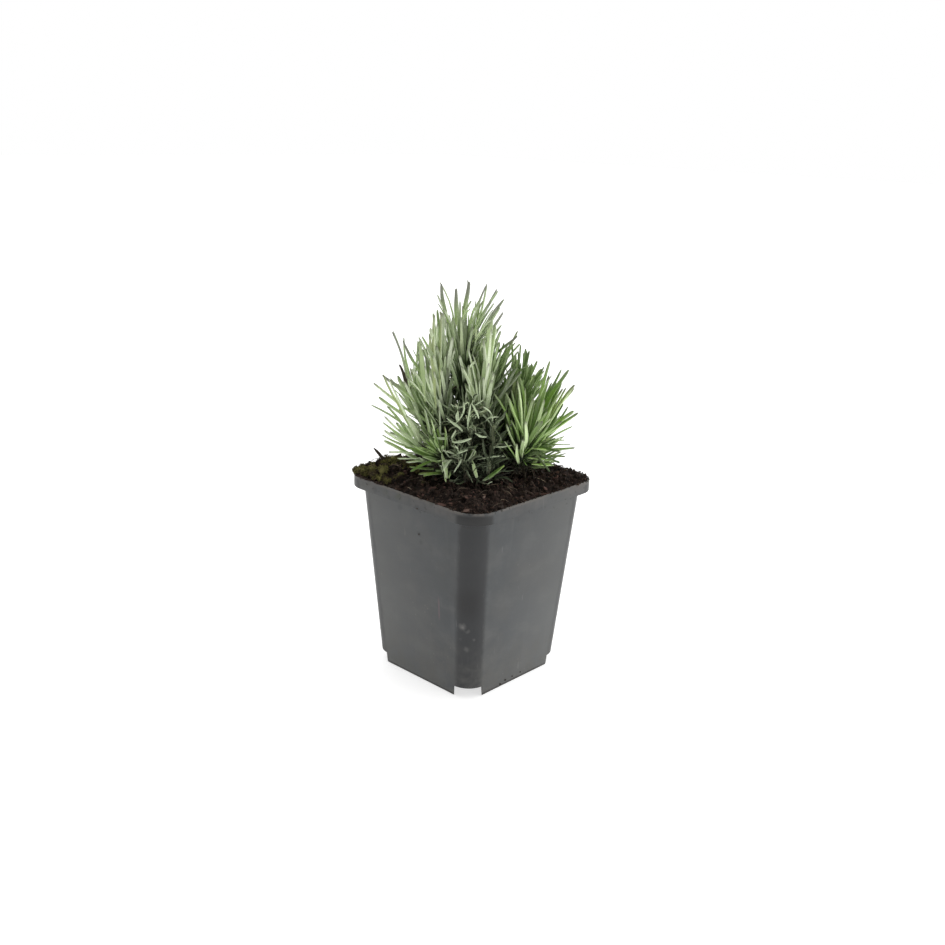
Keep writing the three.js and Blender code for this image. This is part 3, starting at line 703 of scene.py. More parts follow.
rim_outline = rim_ring(SOIL_EDGE, SOIL_INSET, **SOIL_STEPS)
soil_rings = [
    body_ring(ROOF_TOP + GAP, SOIL_INSET, **SOIL_STEPS),
    body_ring(shoulder + SOIL_INSET, SOIL_INSET, **SOIL_STEPS),
    rim_ring(collar_foot + SOIL_INSET, SOIL_INSET, **SOIL_STEPS),
]
for k in range(SOIL_RINGS, 0, -1):
    flat = rim_outline[:, :2] * (k / SOIL_RINGS)
    soil_rings.append(np.column_stack([flat, peat_top(flat[:, 0], flat[:, 1])]))
peat_pile = Pile()
peat_pile.add(*skin(soil_rings))
peat_pile.make("peat_surface", peat_material, ["potting_soil"])

# %% [markdown]
# ## Stems and leaves: the rule
# Lavender carries its leaves in pairs, each pair a quarter turn round from the one below, and the
# leaves lean less towards the tip of the stem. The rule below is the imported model's own, number for
# number, so each fine leaf lies where its plain solid lies. A leaf that would cross another stem's leaf
# is turned or shortened until it is clear.

# %% Leafy stems
SHOOTS = [  # places as right, front and, above the rim, rise; lean of the lowest and highest leaves
    dict(name="middle_tall_shoot", foot=(-4, -3), apex=(-6, -3, 62), pairs=9, leaf=34, width=2.6,
         spread=(42, 20), tips=((-18, -4, 94), (-19, 2, 89), (-10, -6, 91), (-5, 0, 96), (4, -2, 94),
                                (9, 2, 92), (12, 5, 88), (10, 7, 85))),
    dict(name="middle_right_shoot", foot=(4, -5), apex=(5, -5, 47), pairs=9, leaf=34, width=2.6,
         spread=(46, 20), tips=((7, -3, 78), (5, 3, 77), (20, -8, 71), (21, -4, 66), (17, 0, 68),
                                (11, 4, 73))),
    dict(name="middle_front_shoot", foot=(4, 6), apex=(5, 9, 42), pairs=9, leaf=34, width=2.8,
         spread=(40, 16), tips=((3, 12, 70), (6, 9, 77), (-4, 12, 66), (11, 14, 64))),
    dict(name="left_tall_shoot", foot=(-11, 1), apex=(-17, 1, 50), pairs=9, leaf=32, width=2.6,
         spread=(45, 14), tips=((-21, 0, 80), (-19, -2, 81), (-16, 4, 81), (-22, 3, 74), (-23, 6, 66))),
    dict(name="left_back_shoot", foot=(-16, -6), apex=(-29, -7, 31), pairs=8, leaf=34, width=2.5,
         spread=(50, 18), tips=((-40, -5, 70), (-35, -6, 66), (-28, -3, 66), (-32, -2, 51))),
    dict(name="left_low_shoot", foot=(-14, 9), apex=(-27, 11, 16), pairs=8, leaf=28, width=2.6,
         spread=(50, 22), tips=((-44, 6, 51), (-41, 6, 50), (-42, 8, 36), (-43, 8, 32), (-44, 10, 28),
                                (-44, 12, 23))),
    dict(name="left_front_shoot", foot=(-8, 15), apex=(-17, 22, 17), pairs=9, leaf=21, width=2.4,
         spread=(62, 24), tips=((-33, 18, 19), (-30, 22, 8), (-21, 24, 35), (-13, 31, 6))),
    dict(name="right_fan_shoot", foot=(22, 10), apex=(26, 12, 21), pairs=10, leaf=38, width=2.9,
         spread=(66, 16), tips=((35, 8, 60), (44, 8, 56), (41, 3, 55), (47, 9, 49), (48, 11, 45),
                                (47, 12, 37), (19, 22, 53), (15, 22, 46), (41, 16, 18), (41, 19, 13),
                                (36, 24, 10))),
    dict(name="right_back_shoot", foot=(14, -7), apex=(22, -9, 36), pairs=9, leaf=31, width=2.5,
         spread=(52, 18), tips=((18, -12, 64), (22, -9, 64), (26, -9, 62), (30, -6, 57), (34, -4, 50))),
    dict(name="far_right_shoot", foot=(20, 2), apex=(31, 1, 18), pairs=7, leaf=27, width=2.5,
         spread=(62, 24), tips=((42, -2, 38), (44, 4, 22))),
    dict(name="back_middle_shoot", foot=(-2, -15), apex=(-2, -24, 42), pairs=8, leaf=32, width=2.5,
         spread=(52, 18), tips=((-6, -30, 69), (6, -33, 65))),
    dict(name="back_left_shoot", foot=(-14, -16), apex=(-24, -25, 28), pairs=8, leaf=30, width=2.5,
         spread=(56, 20), tips=((-32, -32, 47), (-28, -21, 56))),
    dict(name="back_right_shoot", foot=(12, -18), apex=(22, -29, 26), pairs=8, leaf=30, width=2.5,
         spread=(56, 20), tips=((31, -36, 45), (21, -33, 53))),
]

# %% All stems
OLD_TWIG = dict(pairs=9, leaf=13, width=1.9, spread=(78, 42), tips=(), old=True)
OLD_TWIGS = [
    dict(name=name, foot=foot, apex=apex, **OLD_TWIG) for name, foot, apex in (
        ("old_twig_left", (-6, 9), (-8, 14, 35)),
        ("old_twig_middle", (-1, 13), (-3, 18, 39)),
        ("old_twig_right", (8, 14), (9, 18, 31)),
        ("old_twig_low_left", (-2, 21), (-7, 27, 17)),
        ("old_twig_low_right", (7, 22), (7, 28, 16)),
    )
]
PLANTS = [dict(plant, old=False) for plant in SHOOTS] + OLD_TWIGS
NAMES = [plant["name"] for plant in PLANTS]
print("stems:", len(PLANTS))

# %% Curves
STEM_FOOT, STEM_APEX = 1.5, 0.9  # radii of a stem


class Bow:
    """A curve with a start, a bend and an end, all in the plant's frame."""

    def __init__(self, start, bend, end):
        self.start, self.bend, self.end = (np.asarray(p, float) for p in (start, bend, end))

    def at(self, t):
        t = np.asarray(t, float)[..., None]
        return (1 - t) ** 2 * self.start + 2 * t * (1 - t) * self.bend + t * t * self.end

    def heading(self, t):
        t = np.asarray(t, float)[..., None]
        slope = (1 - t) * (self.bend - self.start) + t * (self.end - self.bend)
        return slope / np.linalg.norm(slope, axis=-1, keepdims=True)


def stem_of(plant):
    """A stem that rises from the peat and leans out towards its apex."""
    foot = place(*plant["foot"], 0)
    foot[2] = soil_height(*in_pot(foot)[:2]) + 1.2
    apex = place(*plant["apex"])
    bend = foot + (apex - foot) * np.array((0.3, 0.3, 0.45))
    return Bow(foot, bend, apex)


def stem_radius(t):
    return STEM_FOOT + (STEM_APEX - STEM_FOOT) * t


stems = [stem_of(plant) for plant in PLANTS]
print("tallest stem, mm above the rim:", max(stem.end[2] for stem in stems) - POT_HEIGHT)

# %% Directions round a stem
LEAF_SUNK = 0.45  # share of the stem's radius at which a leaf starts


def across(heading):
    """A direction across an upright stem, the same all the way up it."""
    level = np.array((1.0, 0, 0)) if abs(heading[0]) < 0.9 else np.array((0, 1.0, 0))
    return unit(level - heading * (level @ heading))


def around_stem(stem, t, degrees):
    """The direction up a stem at a place, and one out of it, turned round it."""
    along = stem.heading(t)
    u = across(along)
    angle = math.radians(degrees)
    return along, u * math.cos(angle) + np.cross(along, u) * math.sin(angle)


def leaning(along, out, lean):
    """A direction that leans out of the stem by so many degrees."""
    angle = math.radians(lean)
    return along * math.cos(angle) + out * math.sin(angle)


def midrib(root, tip, along, bow):
    """A leaf's middle line. A positive bow lifts it away from the stem, as a share of its length."""
    chord = tip - root
    outward = -unit(np.cross(np.cross(along, chord), chord))
    return Bow(root, (root + tip) / 2 + outward * bow * np.linalg.norm(chord), tip)

# %% One leaf
def grow(stem, t, degrees, lean, length, width, bow, kind, thickness=1.0):
    """A leaf: where on the stem, how far round it, how far it leans, and its size."""
    along, out = around_stem(stem, t, degrees)
    start = stem.at(min(t, 0.98)) + out * LEAF_SUNK * stem_radius(t) * thickness
    tip = start + leaning(along, out, lean) * length
    return dict(curve=midrib(start, tip, along, bow), along=along, width=width, out=out, kind=kind)


def reach_for(tip, stem, t, width, bow, kind):
    """A leaf from a place on the stem to a given tip."""
    along = stem.heading(t)
    reach = tip - stem.at(t)
    out = unit(reach - along * (reach @ along))
    start = stem.at(min(0.97, t)) + out * LEAF_SUNK * stem_radius(t)
    return dict(curve=midrib(start, tip, along, bow), along=along, width=width, out=out, kind=kind)

# %% Leaves by the rule
BOW_FRESH, BOW_OLD, BOW_TIP = (-0.08, 0.1), (-0.1, 0.34), (-0.03, 0.09)


def kind_of(plant, fresh="leaf"):
    return "old" if plant["old"] else fresh


def lean_at(plant, share):
    """How far the leaves lean at a share of the stem's height, in degrees."""
    low, high = plant["spread"]
    return low + (high - low) * share ** 0.8


def leaf_by_rule(plant, stem, shoot, pair, side, nudge):
    """One leaf of a pair. A nudge turns it, changes its lean and shortens it."""
    turn, lift, shorten = nudge
    key = (shoot, pair, side)
    share = (pair + 0.6) / plant["pairs"]
    degrees = pair * 90 + side * 180 + between(-24, 24, *key, 1) + turn
    lean = lean_at(plant, share) + between(-8, 8, *key, 2) + lift
    growth = 0.85 if plant["old"] else 0.62 + 0.38 * math.sin(math.pi * min(1, 0.2 + 0.75 * share))
    length = plant["leaf"] * growth * between(0.82, 1.08, *key, 3) * shorten
    bow = between(*(BOW_OLD if plant["old"] else BOW_FRESH), *key, 4)
    width = plant["width"] * between(0.85, 1.08, *key, 5)
    return grow(stem, 0.06 + 0.92 * share, degrees, max(8, lean), length, width, bow, kind_of(plant))


def leaf_to_tip(plant, stem, shoot, index, forward):
    """A leaf to one of the tips that the photograph shows, moved to the front or back."""
    right, front, rise = plant["tips"][index]
    tip = place(right, front + forward, rise)
    stretch = 0.28 if np.linalg.norm(stem.end - tip) < plant["leaf"] else 0.12
    t = 1 - stretch * draw(shoot, index, 7)
    bow = between(*BOW_TIP, shoot, index, 8)
    width = plant["width"] * between(0.9, 1.08, shoot, index, 9)
    return reach_for(tip, stem, t, width, bow, kind_of(plant))

# %% [markdown]
# ### Keeping leaves apart
# Real leaves never pass through each other, and in a close view a crossing shows at once. Testing every
# skin against every other would take long. Instead each stem and leaf is kept as five straight pieces
# with a radius, and the shortest distance between two straight pieces is a short formula.

# %% Distances
PIECES = 5


def pieces_of(curve):
    points = curve.at(np.linspace(0, 1, PIECES + 1))
    return points[:-1], points[1:]


def distances(a, b, c, d):
    """Shortest distances between straight pieces a-b and c-d."""
    p, q, r = b - a, d - c, a - c
    pp, qq, pq, pr, qr = ((x * y).sum(-1) for x, y in ((p, p), (q, q), (p, q), (p, r), (q, r)))
    denominator = pp * qq - pq * pq
    safe = np.where(denominator > 1e-9, denominator, 1)
    s = np.where(denominator > 1e-9, np.clip((pq * qr - pr * qq) / safe, 0, 1), 0)
    t = np.clip((pq * s + qr) / qq, 0, 1)
    s = np.clip((pq * t - pr) / pp, 0, 1)
    return np.linalg.norm(a + p * s[..., None] - c - q * t[..., None], axis=-1)

# %% What is taken
OWN_ROOM = 0.75  # share of their widths that leaves of one stem keep apart
MOST_PIECES = 60000


class Taken:
    """The straight pieces of every stem and leaf so far."""

    def __init__(self):
        self.count = 0
        self.starts, self.ends, self.middles = (np.zeros((MOST_PIECES, 3)) for _ in range(3))
        self.radii, self.halves, self.shoots = (np.zeros(MOST_PIECES) for _ in range(3))
        self.near = np.zeros(MOST_PIECES, bool)

    def add(self, starts, ends, radius, shoot, near):
        new = slice(self.count, self.count + len(starts))
        self.starts[new], self.ends[new], self.middles[new] = starts, ends, (starts + ends) / 2
        self.halves[new] = np.linalg.norm(ends - starts, axis=1) / 2
        self.radii[new], self.shoots[new], self.near[new] = radius, shoot, near
        self.count = new.stop

    def is_clear(self, starts, ends, radius, shoot, near, own_room=OWN_ROOM, room=1.0, gap=GAP):
        centre = (starts[0] + ends[-1]) / 2
        reach = np.linalg.norm(np.concatenate([starts, ends]) - centre, axis=1).max()
        far = np.linalg.norm(self.middles[:self.count] - centre, axis=1)
        limit = reach + self.halves[:self.count] + radius + self.radii[:self.count] + gap
        close = np.flatnonzero(far < limit)
        same = self.shoots[close] == shoot
        needed = (radius + self.radii[close]) * np.where(same, own_room, room) + gap
        apart = distances(starts[:, None], ends[:, None],
                          self.starts[close][None], self.ends[close][None]) > needed
        may_touch = same[None] & (near[:, None] | self.near[close][None])
        return bool((apart | may_touch).all())

# %% In place and fitted
SKIRT_FROM, SKIRT_LEFT, SKIRT_RIGHT = 22, 0.8, 0.5  # the outer leaves rise clear of the rim
NEAR_STEM = np.arange(PIECES) < 2
taken = Taken()
leaves = [[] for _ in PLANTS]


def is_in_place(ends, radius, lift=0.0):
    """Inside the rim's outline seen from above, above the peat and above the skirt."""
    spots = in_pot(ends)
    reach = np.abs(spots[:, :2]).max(1) + radius
    further = np.maximum(0, np.abs(ends[:, 0]) - SKIRT_FROM)
    skirt = POT_HEIGHT + further * (np.where(ends[:, 0] < 0, SKIRT_LEFT + lift, SKIRT_RIGHT))
    ground = np.maximum(soil_height(spots[:, 0], spots[:, 1]), skirt)
    return bool((reach < RIM_SIDE / 2 - GAP).all() and (ends[:, 2] > ground + radius).all())


def fit(shoot, nudges, make_one, lift=0.0, **room):
    """Adds a leaf with the first nudge that keeps it clear, if there is one."""
    for nudge in nudges:
        leaf = make_one(nudge)
        starts, ends = pieces_of(leaf["curve"])
        lie = (starts, ends, leaf["width"] / 2, shoot, NEAR_STEM)
        if is_in_place(ends, leaf["width"] / 2, lift) and taken.is_clear(*lie, **room):
            taken.add(*lie)
            leaves[shoot].append(leaf)
            return

# %% Growing by the rule
TIP_NUDGES = [0, 2, -2, 4, -4, 6, -6, 9, -9, 12, -12]  # millimetres to the front
RULE_NUDGES = [
    (turn, lift, shorten)
    for shorten in (1, 0.85, 0.7)
    for turn in (0, 15, -15, 30, -30, 42, -42)
    for lift in (0, -10, 12)
]

for shoot, stem in enumerate(stems):
    taken.add(*pieces_of(stem), STEM_FOOT, shoot, np.ones(PIECES, bool))
for shoot, plant in enumerate(PLANTS):
    for index in range(len(plant["tips"])):
        fit(shoot, TIP_NUDGES, lambda nudge: leaf_to_tip(plant, stems[shoot], shoot, index, nudge))
for below in range(max(plant["pairs"] for plant in PLANTS)):
    for shoot, plant in enumerate(PLANTS):
        pair = plant["pairs"] - 1 - below
        for side in (0, 1) if pair >= 0 else ():
            fit(shoot, RULE_NUDGES,
                lambda nudge: leaf_by_rule(plant, stems[shoot], shoot, pair, side, nudge))
print("leaves by the rule:", sum(map(len, leaves)))

# %% [markdown]
# ### Leaves that stand out
# In the photograph some leaves catch the eye: silvery ones in front of the clump, dusky tips against the
# light, a few yellow ones, and the thick curled leaves of the old twigs. No rule would put one just
# there, so each is given from its root to its tip, with looks of its own.

# %% Looks of their own
SILVER = dict(tone=0.9, hue=0.3, age=0.0, dusk=0.0)
DUSKY = dict(tone=0.25, hue=0.3, age=0.0, dusk=1.0)
YELLOW = dict(tone=0.35, hue=1.0, age=0.0, dusk=0.1)
CURLED = dict(tone=0.6, hue=0.62, age=0.0, dusk=0.0)
DULL = dict(tone=0.1, hue=0.4, age=0.0, dusk=0.25)
PALE = dict(tone=0.9, hue=0.85, age=0.0, dusk=0.3)
WITHERED = dict(tone=0.8, hue=0.3, age=0.0, dusk=1.0, dead=1.0)
STANDOUT = {  # root and tip, each as right, front and rise, then width, bow and looks
    "middle_front_shoot": (
        ((4, 13, 41), (6.8, 8, 79), 3.2, 0.02, SILVER),
        ((5.5, 13.5, 40), (8.4, 7, 76), 3.0, 0.03, SILVER),
        ((-0.2, 14, 40), (-3.5, 12, 58), 2.4, -0.04, PALE),
        ((-3.2, 11, 56), (-1.2, 14, 60), 2.6, 0.1, SILVER),
        ((-15.2, 25, 18), (-12.6, 30, 7.4), 3.4, 0.05, SILVER),
        ((-1.2, 27, 16), (1.3, 31, 8.4), 2.8, 0.04, SILVER)),
    "middle_tall_shoot": (
        ((-2, 6, 71), (8.8, 3, 92.5), 2.6, 0.04, DUSKY),
        ((-1, 7, 68), (12.2, 4, 88), 2.7, 0.05, DUSKY),
        ((1.5, 8, 64), (11.9, 5, 82), 2.7, 0.03, DUSKY),
        ((-3, 4, 76), (3.6, 3, 94), 2.5, 0.03, DUSKY),
        ((-7, 4, 78), (-4.4, 2, 95.4), 2.6, 0.02, DUSKY),
        ((-10, 4, 74), (-10.4, 2, 92), 2.6, -0.02, DUSKY),
        ((-13, 3, 73), (-17.2, -1, 93.6), 2.6, -0.05, DUSKY)),
    "left_back_shoot": (
        ((-31.5, 2, 40), (-40.3, -2, 70), 2.5, -0.07, DUSKY),
        ((-26, 2, 51), (-35, -1, 66), 2.5, -0.03, DUSKY),
        ((-28.5, 3, 44), (-35.8, 1, 53), 2.3, -0.03, DUSKY),
        ((-24.5, 3, 45), (-27, 0, 65.5), 2.8, 0.04, DUSKY),
        ((-22.5, 3, 47), (-23.4, 0, 63.5), 2.8, 0.03, DUSKY),
        ((-29, 6, 38), (-44.5, 3, 50), 2.4, 0.06, DUSKY),
        ((-31.6, 3.6, 39.5), (-36.6, 1.4, 55), 2.1, -0.06, WITHERED)),
    "left_tall_shoot": (
        ((-23.9, 5, 38), (-27.2, 1, 66.5), 3.2, 0.03, SILVER),
        ((-19.6, 8, 42), (-20.4, 4, 80), 2.8, 0.02, YELLOW),
        ((-16.8, 9, 42), (-17.2, 4, 81), 2.6, -0.02, YELLOW),
        ((-18.4, 9, 36), (-22.4, 5, 71), 2.8, 0.03, YELLOW)),
    "middle_right_shoot": (
        ((9, 0, 60), (19.3, 2, 70.5), 2.2, 0.05, DUSKY),),
    "right_fan_shoot": (
        ((14, 25, 13), (3.8, 32, 7.4), 3.4, -0.05, DULL),
        ((27, 16, 19), (42.4, 12, 17.4), 2.6, 0.03, SILVER),
        ((25.7, 18, 15), (41.3, 15, 12.4), 2.8, 0.02, SILVER),
        ((27.5, 20, 12.5), (38.5, 18, 11.6), 2.6, 0.02, SILVER)),
    "old_twig_middle": (
        ((-13.4, 21, 34.3), (-5.7, 25, 29.0), 1.9, 0.12, CURLED),
        ((-3.3, 22, 29.0), (-2.6, 24, 42.1), 2.2, 0.06, CURLED),
        ((-9.5, 22, 31.8), (-6.0, 23, 42.9), 1.7, -0.27, CURLED),
        ((-2.0, 23, 42.3), (1.6, 25, 35.3), 2.0, 0.18, CURLED),
        ((-10.7, 25, 24.1), (-1.6, 27, 26.6), 2.2, -0.15, CURLED)),
    "old_twig_right": (
        ((-0.1, 24, 28.2), (5.5, 26, 27.1), 2.0, -0.18, CURLED),
        ((8.3, 20, 33.2), (3.3, 23, 40.6), 1.9, 0.30, CURLED),
        ((5.0, 21, 33.8), (10.9, 24, 36.2), 1.6, 0.21, CURLED)),
    "old_twig_left": (
        ((-19.6, 21, 25.1), (-12.6, 24, 25.3), 2.0, -0.12, CURLED),
        ((-8.2, 23, 38.4), (-8.4, 24, 33.8), 2.2, 0.18, CURLED)),
    "old_twig_low_right": (
        ((1.6, 27, 16.2), (14.1, 29, 18.8), 1.6, 0.07, CURLED),
        ((8.5, 25, 21.9), (17.3, 27, 23.7), 1.4, -0.12, CURLED)),
    "old_twig_low_left": (
        ((-9.2, 27, 17.9), (-3.2, 29, 21.6), 1.9, 0.18, CURLED),
        ((-15.0, 28, 10.0), (-10.5, 29, 16.6), 1.9, 0.15, CURLED)),
}

# %% Leaves that stand out
def standout_leaf(shoot, root, tip, width, bow, looks):
    along = stems[shoot].heading(0.6)
    start, end = place(*root), place(*tip)
    out = unit(end - start - along * ((end - start) @ along))
    curve = midrib(start, end, along, bow)
    taken.add(*pieces_of(curve), width / 3, shoot, NEAR_STEM)
    leaves[shoot].append(
        dict(curve=curve, along=along, width=width, out=out, looks=looks, kind="leaf"))


for name, drawn in STANDOUT.items():
    for leaf in drawn:
        standout_leaf(NAMES.index(name), *leaf)
print("with those that stand out:", sum(map(len, leaves)))

# %% [markdown]
# ### Filling in
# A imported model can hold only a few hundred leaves. On the real plant the outline is full of long
# leaves, more stand between the pairs, every axil holds a tuft of small young leaves or a short side
# shoot, the stem ends in a bud of upright ones, and the lower stems keep curled old leaves. They are
# drawn by the same kind of rule, inside the reach of the leaves that are there already, and left out
# where there is no room.

# %% Leaves that fill the outline
CROWDED = dict(own_room=0.42, room=0.6, gap=0.1, lift=0.6)
FILL_TRIES = 4
FILLED = (  # stem, how many, and the room for their tips: right, front and rise, each from and to
    ("middle_tall_shoot", 84, (-20, 13), (-8, 8), (64, 93)),
    ("middle_right_shoot", 40, (-2, 18), (-8, 8), (50, 76)),
    ("middle_right_shoot", 44, (8, 22), (-4, 10), (50, 68)),
    ("middle_front_shoot", 22, (-8, 12), (4, 12), (46, 68)),
    ("left_tall_shoot", 42, (-25, -10), (-4, 10), (52, 80)),
    ("left_back_shoot", 8, (-32, -24), (-10, 0), (44, 60)),
    ("right_back_shoot", 90, (10, 33), (-12, 8), (34, 62)),
    ("right_fan_shoot", 26, (12, 47), (6, 20), (30, 57)),
    ("right_fan_shoot", 24, (30, 47), (4, 14), (30, 57)),
    ("far_right_shoot", 60, (26, 44), (-8, 8), (10, 40)),
    ("right_back_shoot", 110, (12, 33), (-8, 9), (48, 66)),
    ("back_middle_shoot", 24, (-12, 14), (-30, -18), (46, 66)),
    ("back_left_shoot", 14, (-30, -18), (-28, -16), (38, 54)),
    ("back_right_shoot", 16, (14, 30), (-32, -16), (36, 52)),
)
OUTLINE_RIGHT = (-46, -40, -34, -27, -23, -20, -10, 4, 12, 15, 22, 30, 37, 44, 50)
OUTLINE_RISE = (30, 52, 54, 62, 74, 84, 91, 94, 88, 70, 66, 58, 58, 54, 36)


def fill_leaf(shoot, plant, room, number, attempt):
    """A leaf from the stem to a tip that is drawn inside the plant's outline."""
    key = (shoot, number, attempt)
    right, front, rise = (between(*span, *key, 15 + axis) for axis, span in enumerate(room))
    rise = min(rise, np.interp(right, OUTLINE_RIGHT, OUTLINE_RISE) - between(0, 15, *key, 18))
    tip = place(right, front, rise)
    stem, shares = stems[shoot], np.linspace(0, 1, 21)
    heights = stem.at(shares)
    length = plant["leaf"] * between(0.8, 1.1, *key, 19)
    gaps = np.abs(np.linalg.norm(heights - tip, axis=1) - length)
    gaps = gaps + 100 * (heights[:, 2] > tip[2] - 0.35 * length)
    width = plant["width"] * between(0.78, 1.0, *key, 14)
    bow = between(-0.09, 0.14, *key, 20)
    return reach_for(tip, stem, float(shares[gaps.argmin()]), width, bow, kind_of(plant))


for name, count, *room in FILLED:
    shoot = NAMES.index(name)
    for number in range(count):
        fit(shoot, range(FILL_TRIES),
            lambda attempt: fill_leaf(shoot, PLANTS[shoot], room, number, attempt), **CROWDED)
print("with the outline filled:", sum(map(len, leaves)))

# %% Leaves in between
BOW_CURLED = (-0.4, 0.6)
BARE_TWIGS = ("old_twig_right", "old_twig_low_right")
BUSHY_STEMS = ("right_back_shoot", "back_right_shoot", "middle_right_shoot")  # full of side shoots
AIRY_STEMS = ("left_low_shoot", "left_back_shoot")  # with only their long leaves
OPEN_STEMS = ("right_fan_shoot", "left_front_shoot", *AIRY_STEMS)  # their long leaves stand free
SPARSE_STEMS = OPEN_STEMS + BARE_TWIGS


def in_between(shoot, plant, step, side, attempt):
    """A leaf between two pairs, turned about half way from the one to the other."""
    key = (shoot, step, side, attempt)
    old = plant["old"]
    share = (step + 0.1) / plant["pairs"]
    degrees = step * 90 + 45 + side * 90 + between(-40, 40, *key, 21)
    stray = (-45, 55) if old else (-18, 14)
    lean = max(6, lean_at(plant, share) + between(*stray, *key, 22))
    growth = 0.8 if old else 0.62 + 0.34 * math.sin(math.pi * min(1, 0.2 + 0.75 * share))
    length = plant["leaf"] * growth * between(0.6, 1.05, *key, 23)
    bow = between(*(BOW_CURLED if old else (-0.08, 0.12)), *key, 24)
    width = plant["width"] * between(0.66, 0.95, *key, 25)
    return grow(stems[shoot], 0.05 + 0.92 * share, degrees, lean, length, width, bow, kind_of(plant))


for shoot, plant in enumerate(PLANTS):
    name = plant["name"]
    sides = 0 if name in AIRY_STEMS else 1 if name in SPARSE_STEMS else 4
    for step in range(plant["pairs"] + 1):
        for side in range(sides):
            fit(shoot, range(7), lambda nudge: in_between(shoot, plant, step, side, nudge), **CROWDED)
print("with leaves in between:", sum(map(len, leaves)))

# %% One side shoot
SPRIG_RADIUS = 0.45


def sprig_leaf(sprig, shoot, index, pair, side, attempt):
    key = (shoot, index, pair, side, attempt)
    share = (pair + 0.7) / sprig["pairs"]
    degrees = pair * 90 + side * 180 + between(-30, 30, *key, 61)
    stray = 45 if sprig["kind"] == "old" else 14
    lean = 62 - 42 * share + between(-stray, stray, *key, 62)
    length = sprig["leaf"] * (0.75 + 0.3 * share) * between(0.75, 1.1, *key, 63)
    bow = between(*sprig["bow"], *key, 64)
    width = sprig["width"] * between(0.8, 1.1, *key, 65)
    return grow(sprig["stem"], min(0.96, share), degrees, lean, length, width, bow,
                sprig["kind"], sprig["thickness"])


def side_shoot(shoot, old, bushy, index):
    """A short stem out of a longer one, with what its leaves need to know."""
    key = (shoot, index, 60)
    t = between(0.08, 0.92 if old or bushy else 0.66, *key, 1)
    along, out = around_stem(stems[shoot], t, index * 137.5 + between(-25, 25, *key, 2))
    lean = between(30, 100 if old else 68, *key, 3)
    reach = between(4, 10, *key, 4) if old else between(6, 15, *key, 4)
    start = stems[shoot].at(t)
    end = start + leaning(along, out, lean) * reach
    end[2] += reach * 0.25
    return dict(
        stem=midrib(start, end, along, 0.12), pairs=3 if old else 4, thickness=0.4,
        kind="old" if old else "young", bow=BOW_CURLED if old else (-0.06, 0.14),
        leaf=between(5, 8, *key, 5) if old else between(8, 12 if bushy else 15, *key, 5),
        width=between(1.3, 1.7, *key, 6))

# %% Side shoots
sprigs = [[] for _ in PLANTS]
for shoot, plant in enumerate(PLANTS):
    name, old = plant["name"], plant["old"]
    bushy = name in BUSHY_STEMS
    full = 18 if old else 30 if bushy else 13
    count = 1 if name in AIRY_STEMS else 3 if name in SPARSE_STEMS else full
    for index in range(count):
        sprig = side_shoot(shoot, old, bushy, index)
        starts, ends = pieces_of(sprig["stem"])
        lie = (starts, ends, SPRIG_RADIUS, shoot, NEAR_STEM)
        if not (is_in_place(ends, 0.6, 0.6) and taken.is_clear(*lie)):
            continue
        taken.add(*lie)
        sprigs[shoot].append(sprig)
        for pair in range(sprig["pairs"]):
            for side in (0, 1):
                fit(shoot, range(4),
                    lambda nudge: sprig_leaf(sprig, shoot, index, pair, side, nudge), **CROWDED)
print("side shoots:", sum(map(len, sprigs)), "leaves:", sum(map(len, leaves)))

# %% Tufts, buds and old leaves
def tuft_leaf(shoot, plant, bearer, number, attempt):
    """A small leaf in the axil of a big one."""
    key = (shoot, bearer, number, attempt)
    old = plant["old"]
    big = leaves[shoot][bearer]
    along, curve = big["along"], big["curve"]
    turn = math.radians(between(-60, 60, *key, 31))
    out = big["out"] * math.cos(turn) + np.cross(along, big["out"]) * math.sin(turn)
    reach = np.linalg.norm(curve.end - curve.start)
    length = reach * (between(0.5, 0.9, *key, 33) if old else between(0.2, 0.55, *key, 33))
    start = curve.at(0.02) + along * between(0.2, 1.4, *key, 34)
    tip = start + leaning(along, out, between(14, 52, *key, 32)) * length
    bow = between(*(BOW_OLD if old else (-0.05, 0.16)), *key, 35)
    width = big["width"] * between(0.5, 0.78, *key, 36)
    return dict(curve=midrib(start, tip, along, bow), along=along, width=width, out=out,
                kind=kind_of(plant, "young"))


def bud_leaf(shoot, plant, number, attempt):
    """One of the upright young leaves round the tip of a stem."""
    key = (shoot, number, attempt)
    t = between(0.86, 1.0, *key, 41)
    degrees = number * 137.5 + between(-20, 20, *key, 42)
    length = plant["leaf"] * between(0.22, 0.62, *key, 43)
    width = plant["width"] * between(0.6, 0.9, *key, 44)
    return grow(stems[shoot], t, degrees, between(4, 24, *key, 45), length, width,
                between(-0.04, 0.12, *key, 46), kind_of(plant, "young"))


def low_leaf(shoot, number, attempt):
    """A dead leaf on the lower part of a stem, often curled or hanging."""
    key = (shoot, number, attempt)
    t = between(0.03, 0.62, *key, 51)
    lean = between(48, 125, *key, 53)
    return grow(stems[shoot], t, between(0, 360, *key, 52), lean, between(6, 14, *key, 54),
                between(1.3, 2.2, *key, 55), between(-0.15, 0.4, *key, 56), "dead")


for shoot, plant in enumerate(PLANTS):
    name = plant["name"]
    bearers = 0 if name in AIRY_STEMS else len(leaves[shoot])
    for bearer in range(bearers):
        for number in range(1 if name in SPARSE_STEMS else 2):
            fit(shoot, range(3), lambda nudge: tuft_leaf(shoot, plant, bearer, number, nudge), **CROWDED)
    for number in range(5 if plant["old"] else 14):
        fit(shoot, range(4), lambda nudge: bud_leaf(shoot, plant, number, nudge), **CROWDED)
    for number in range(12 if plant["old"] else 70):
        fit(shoot, range(4), lambda nudge: low_leaf(shoot, number, nudge), **CROWDED)
print("with tufts, buds and old leaves:", sum(map(len, leaves)))

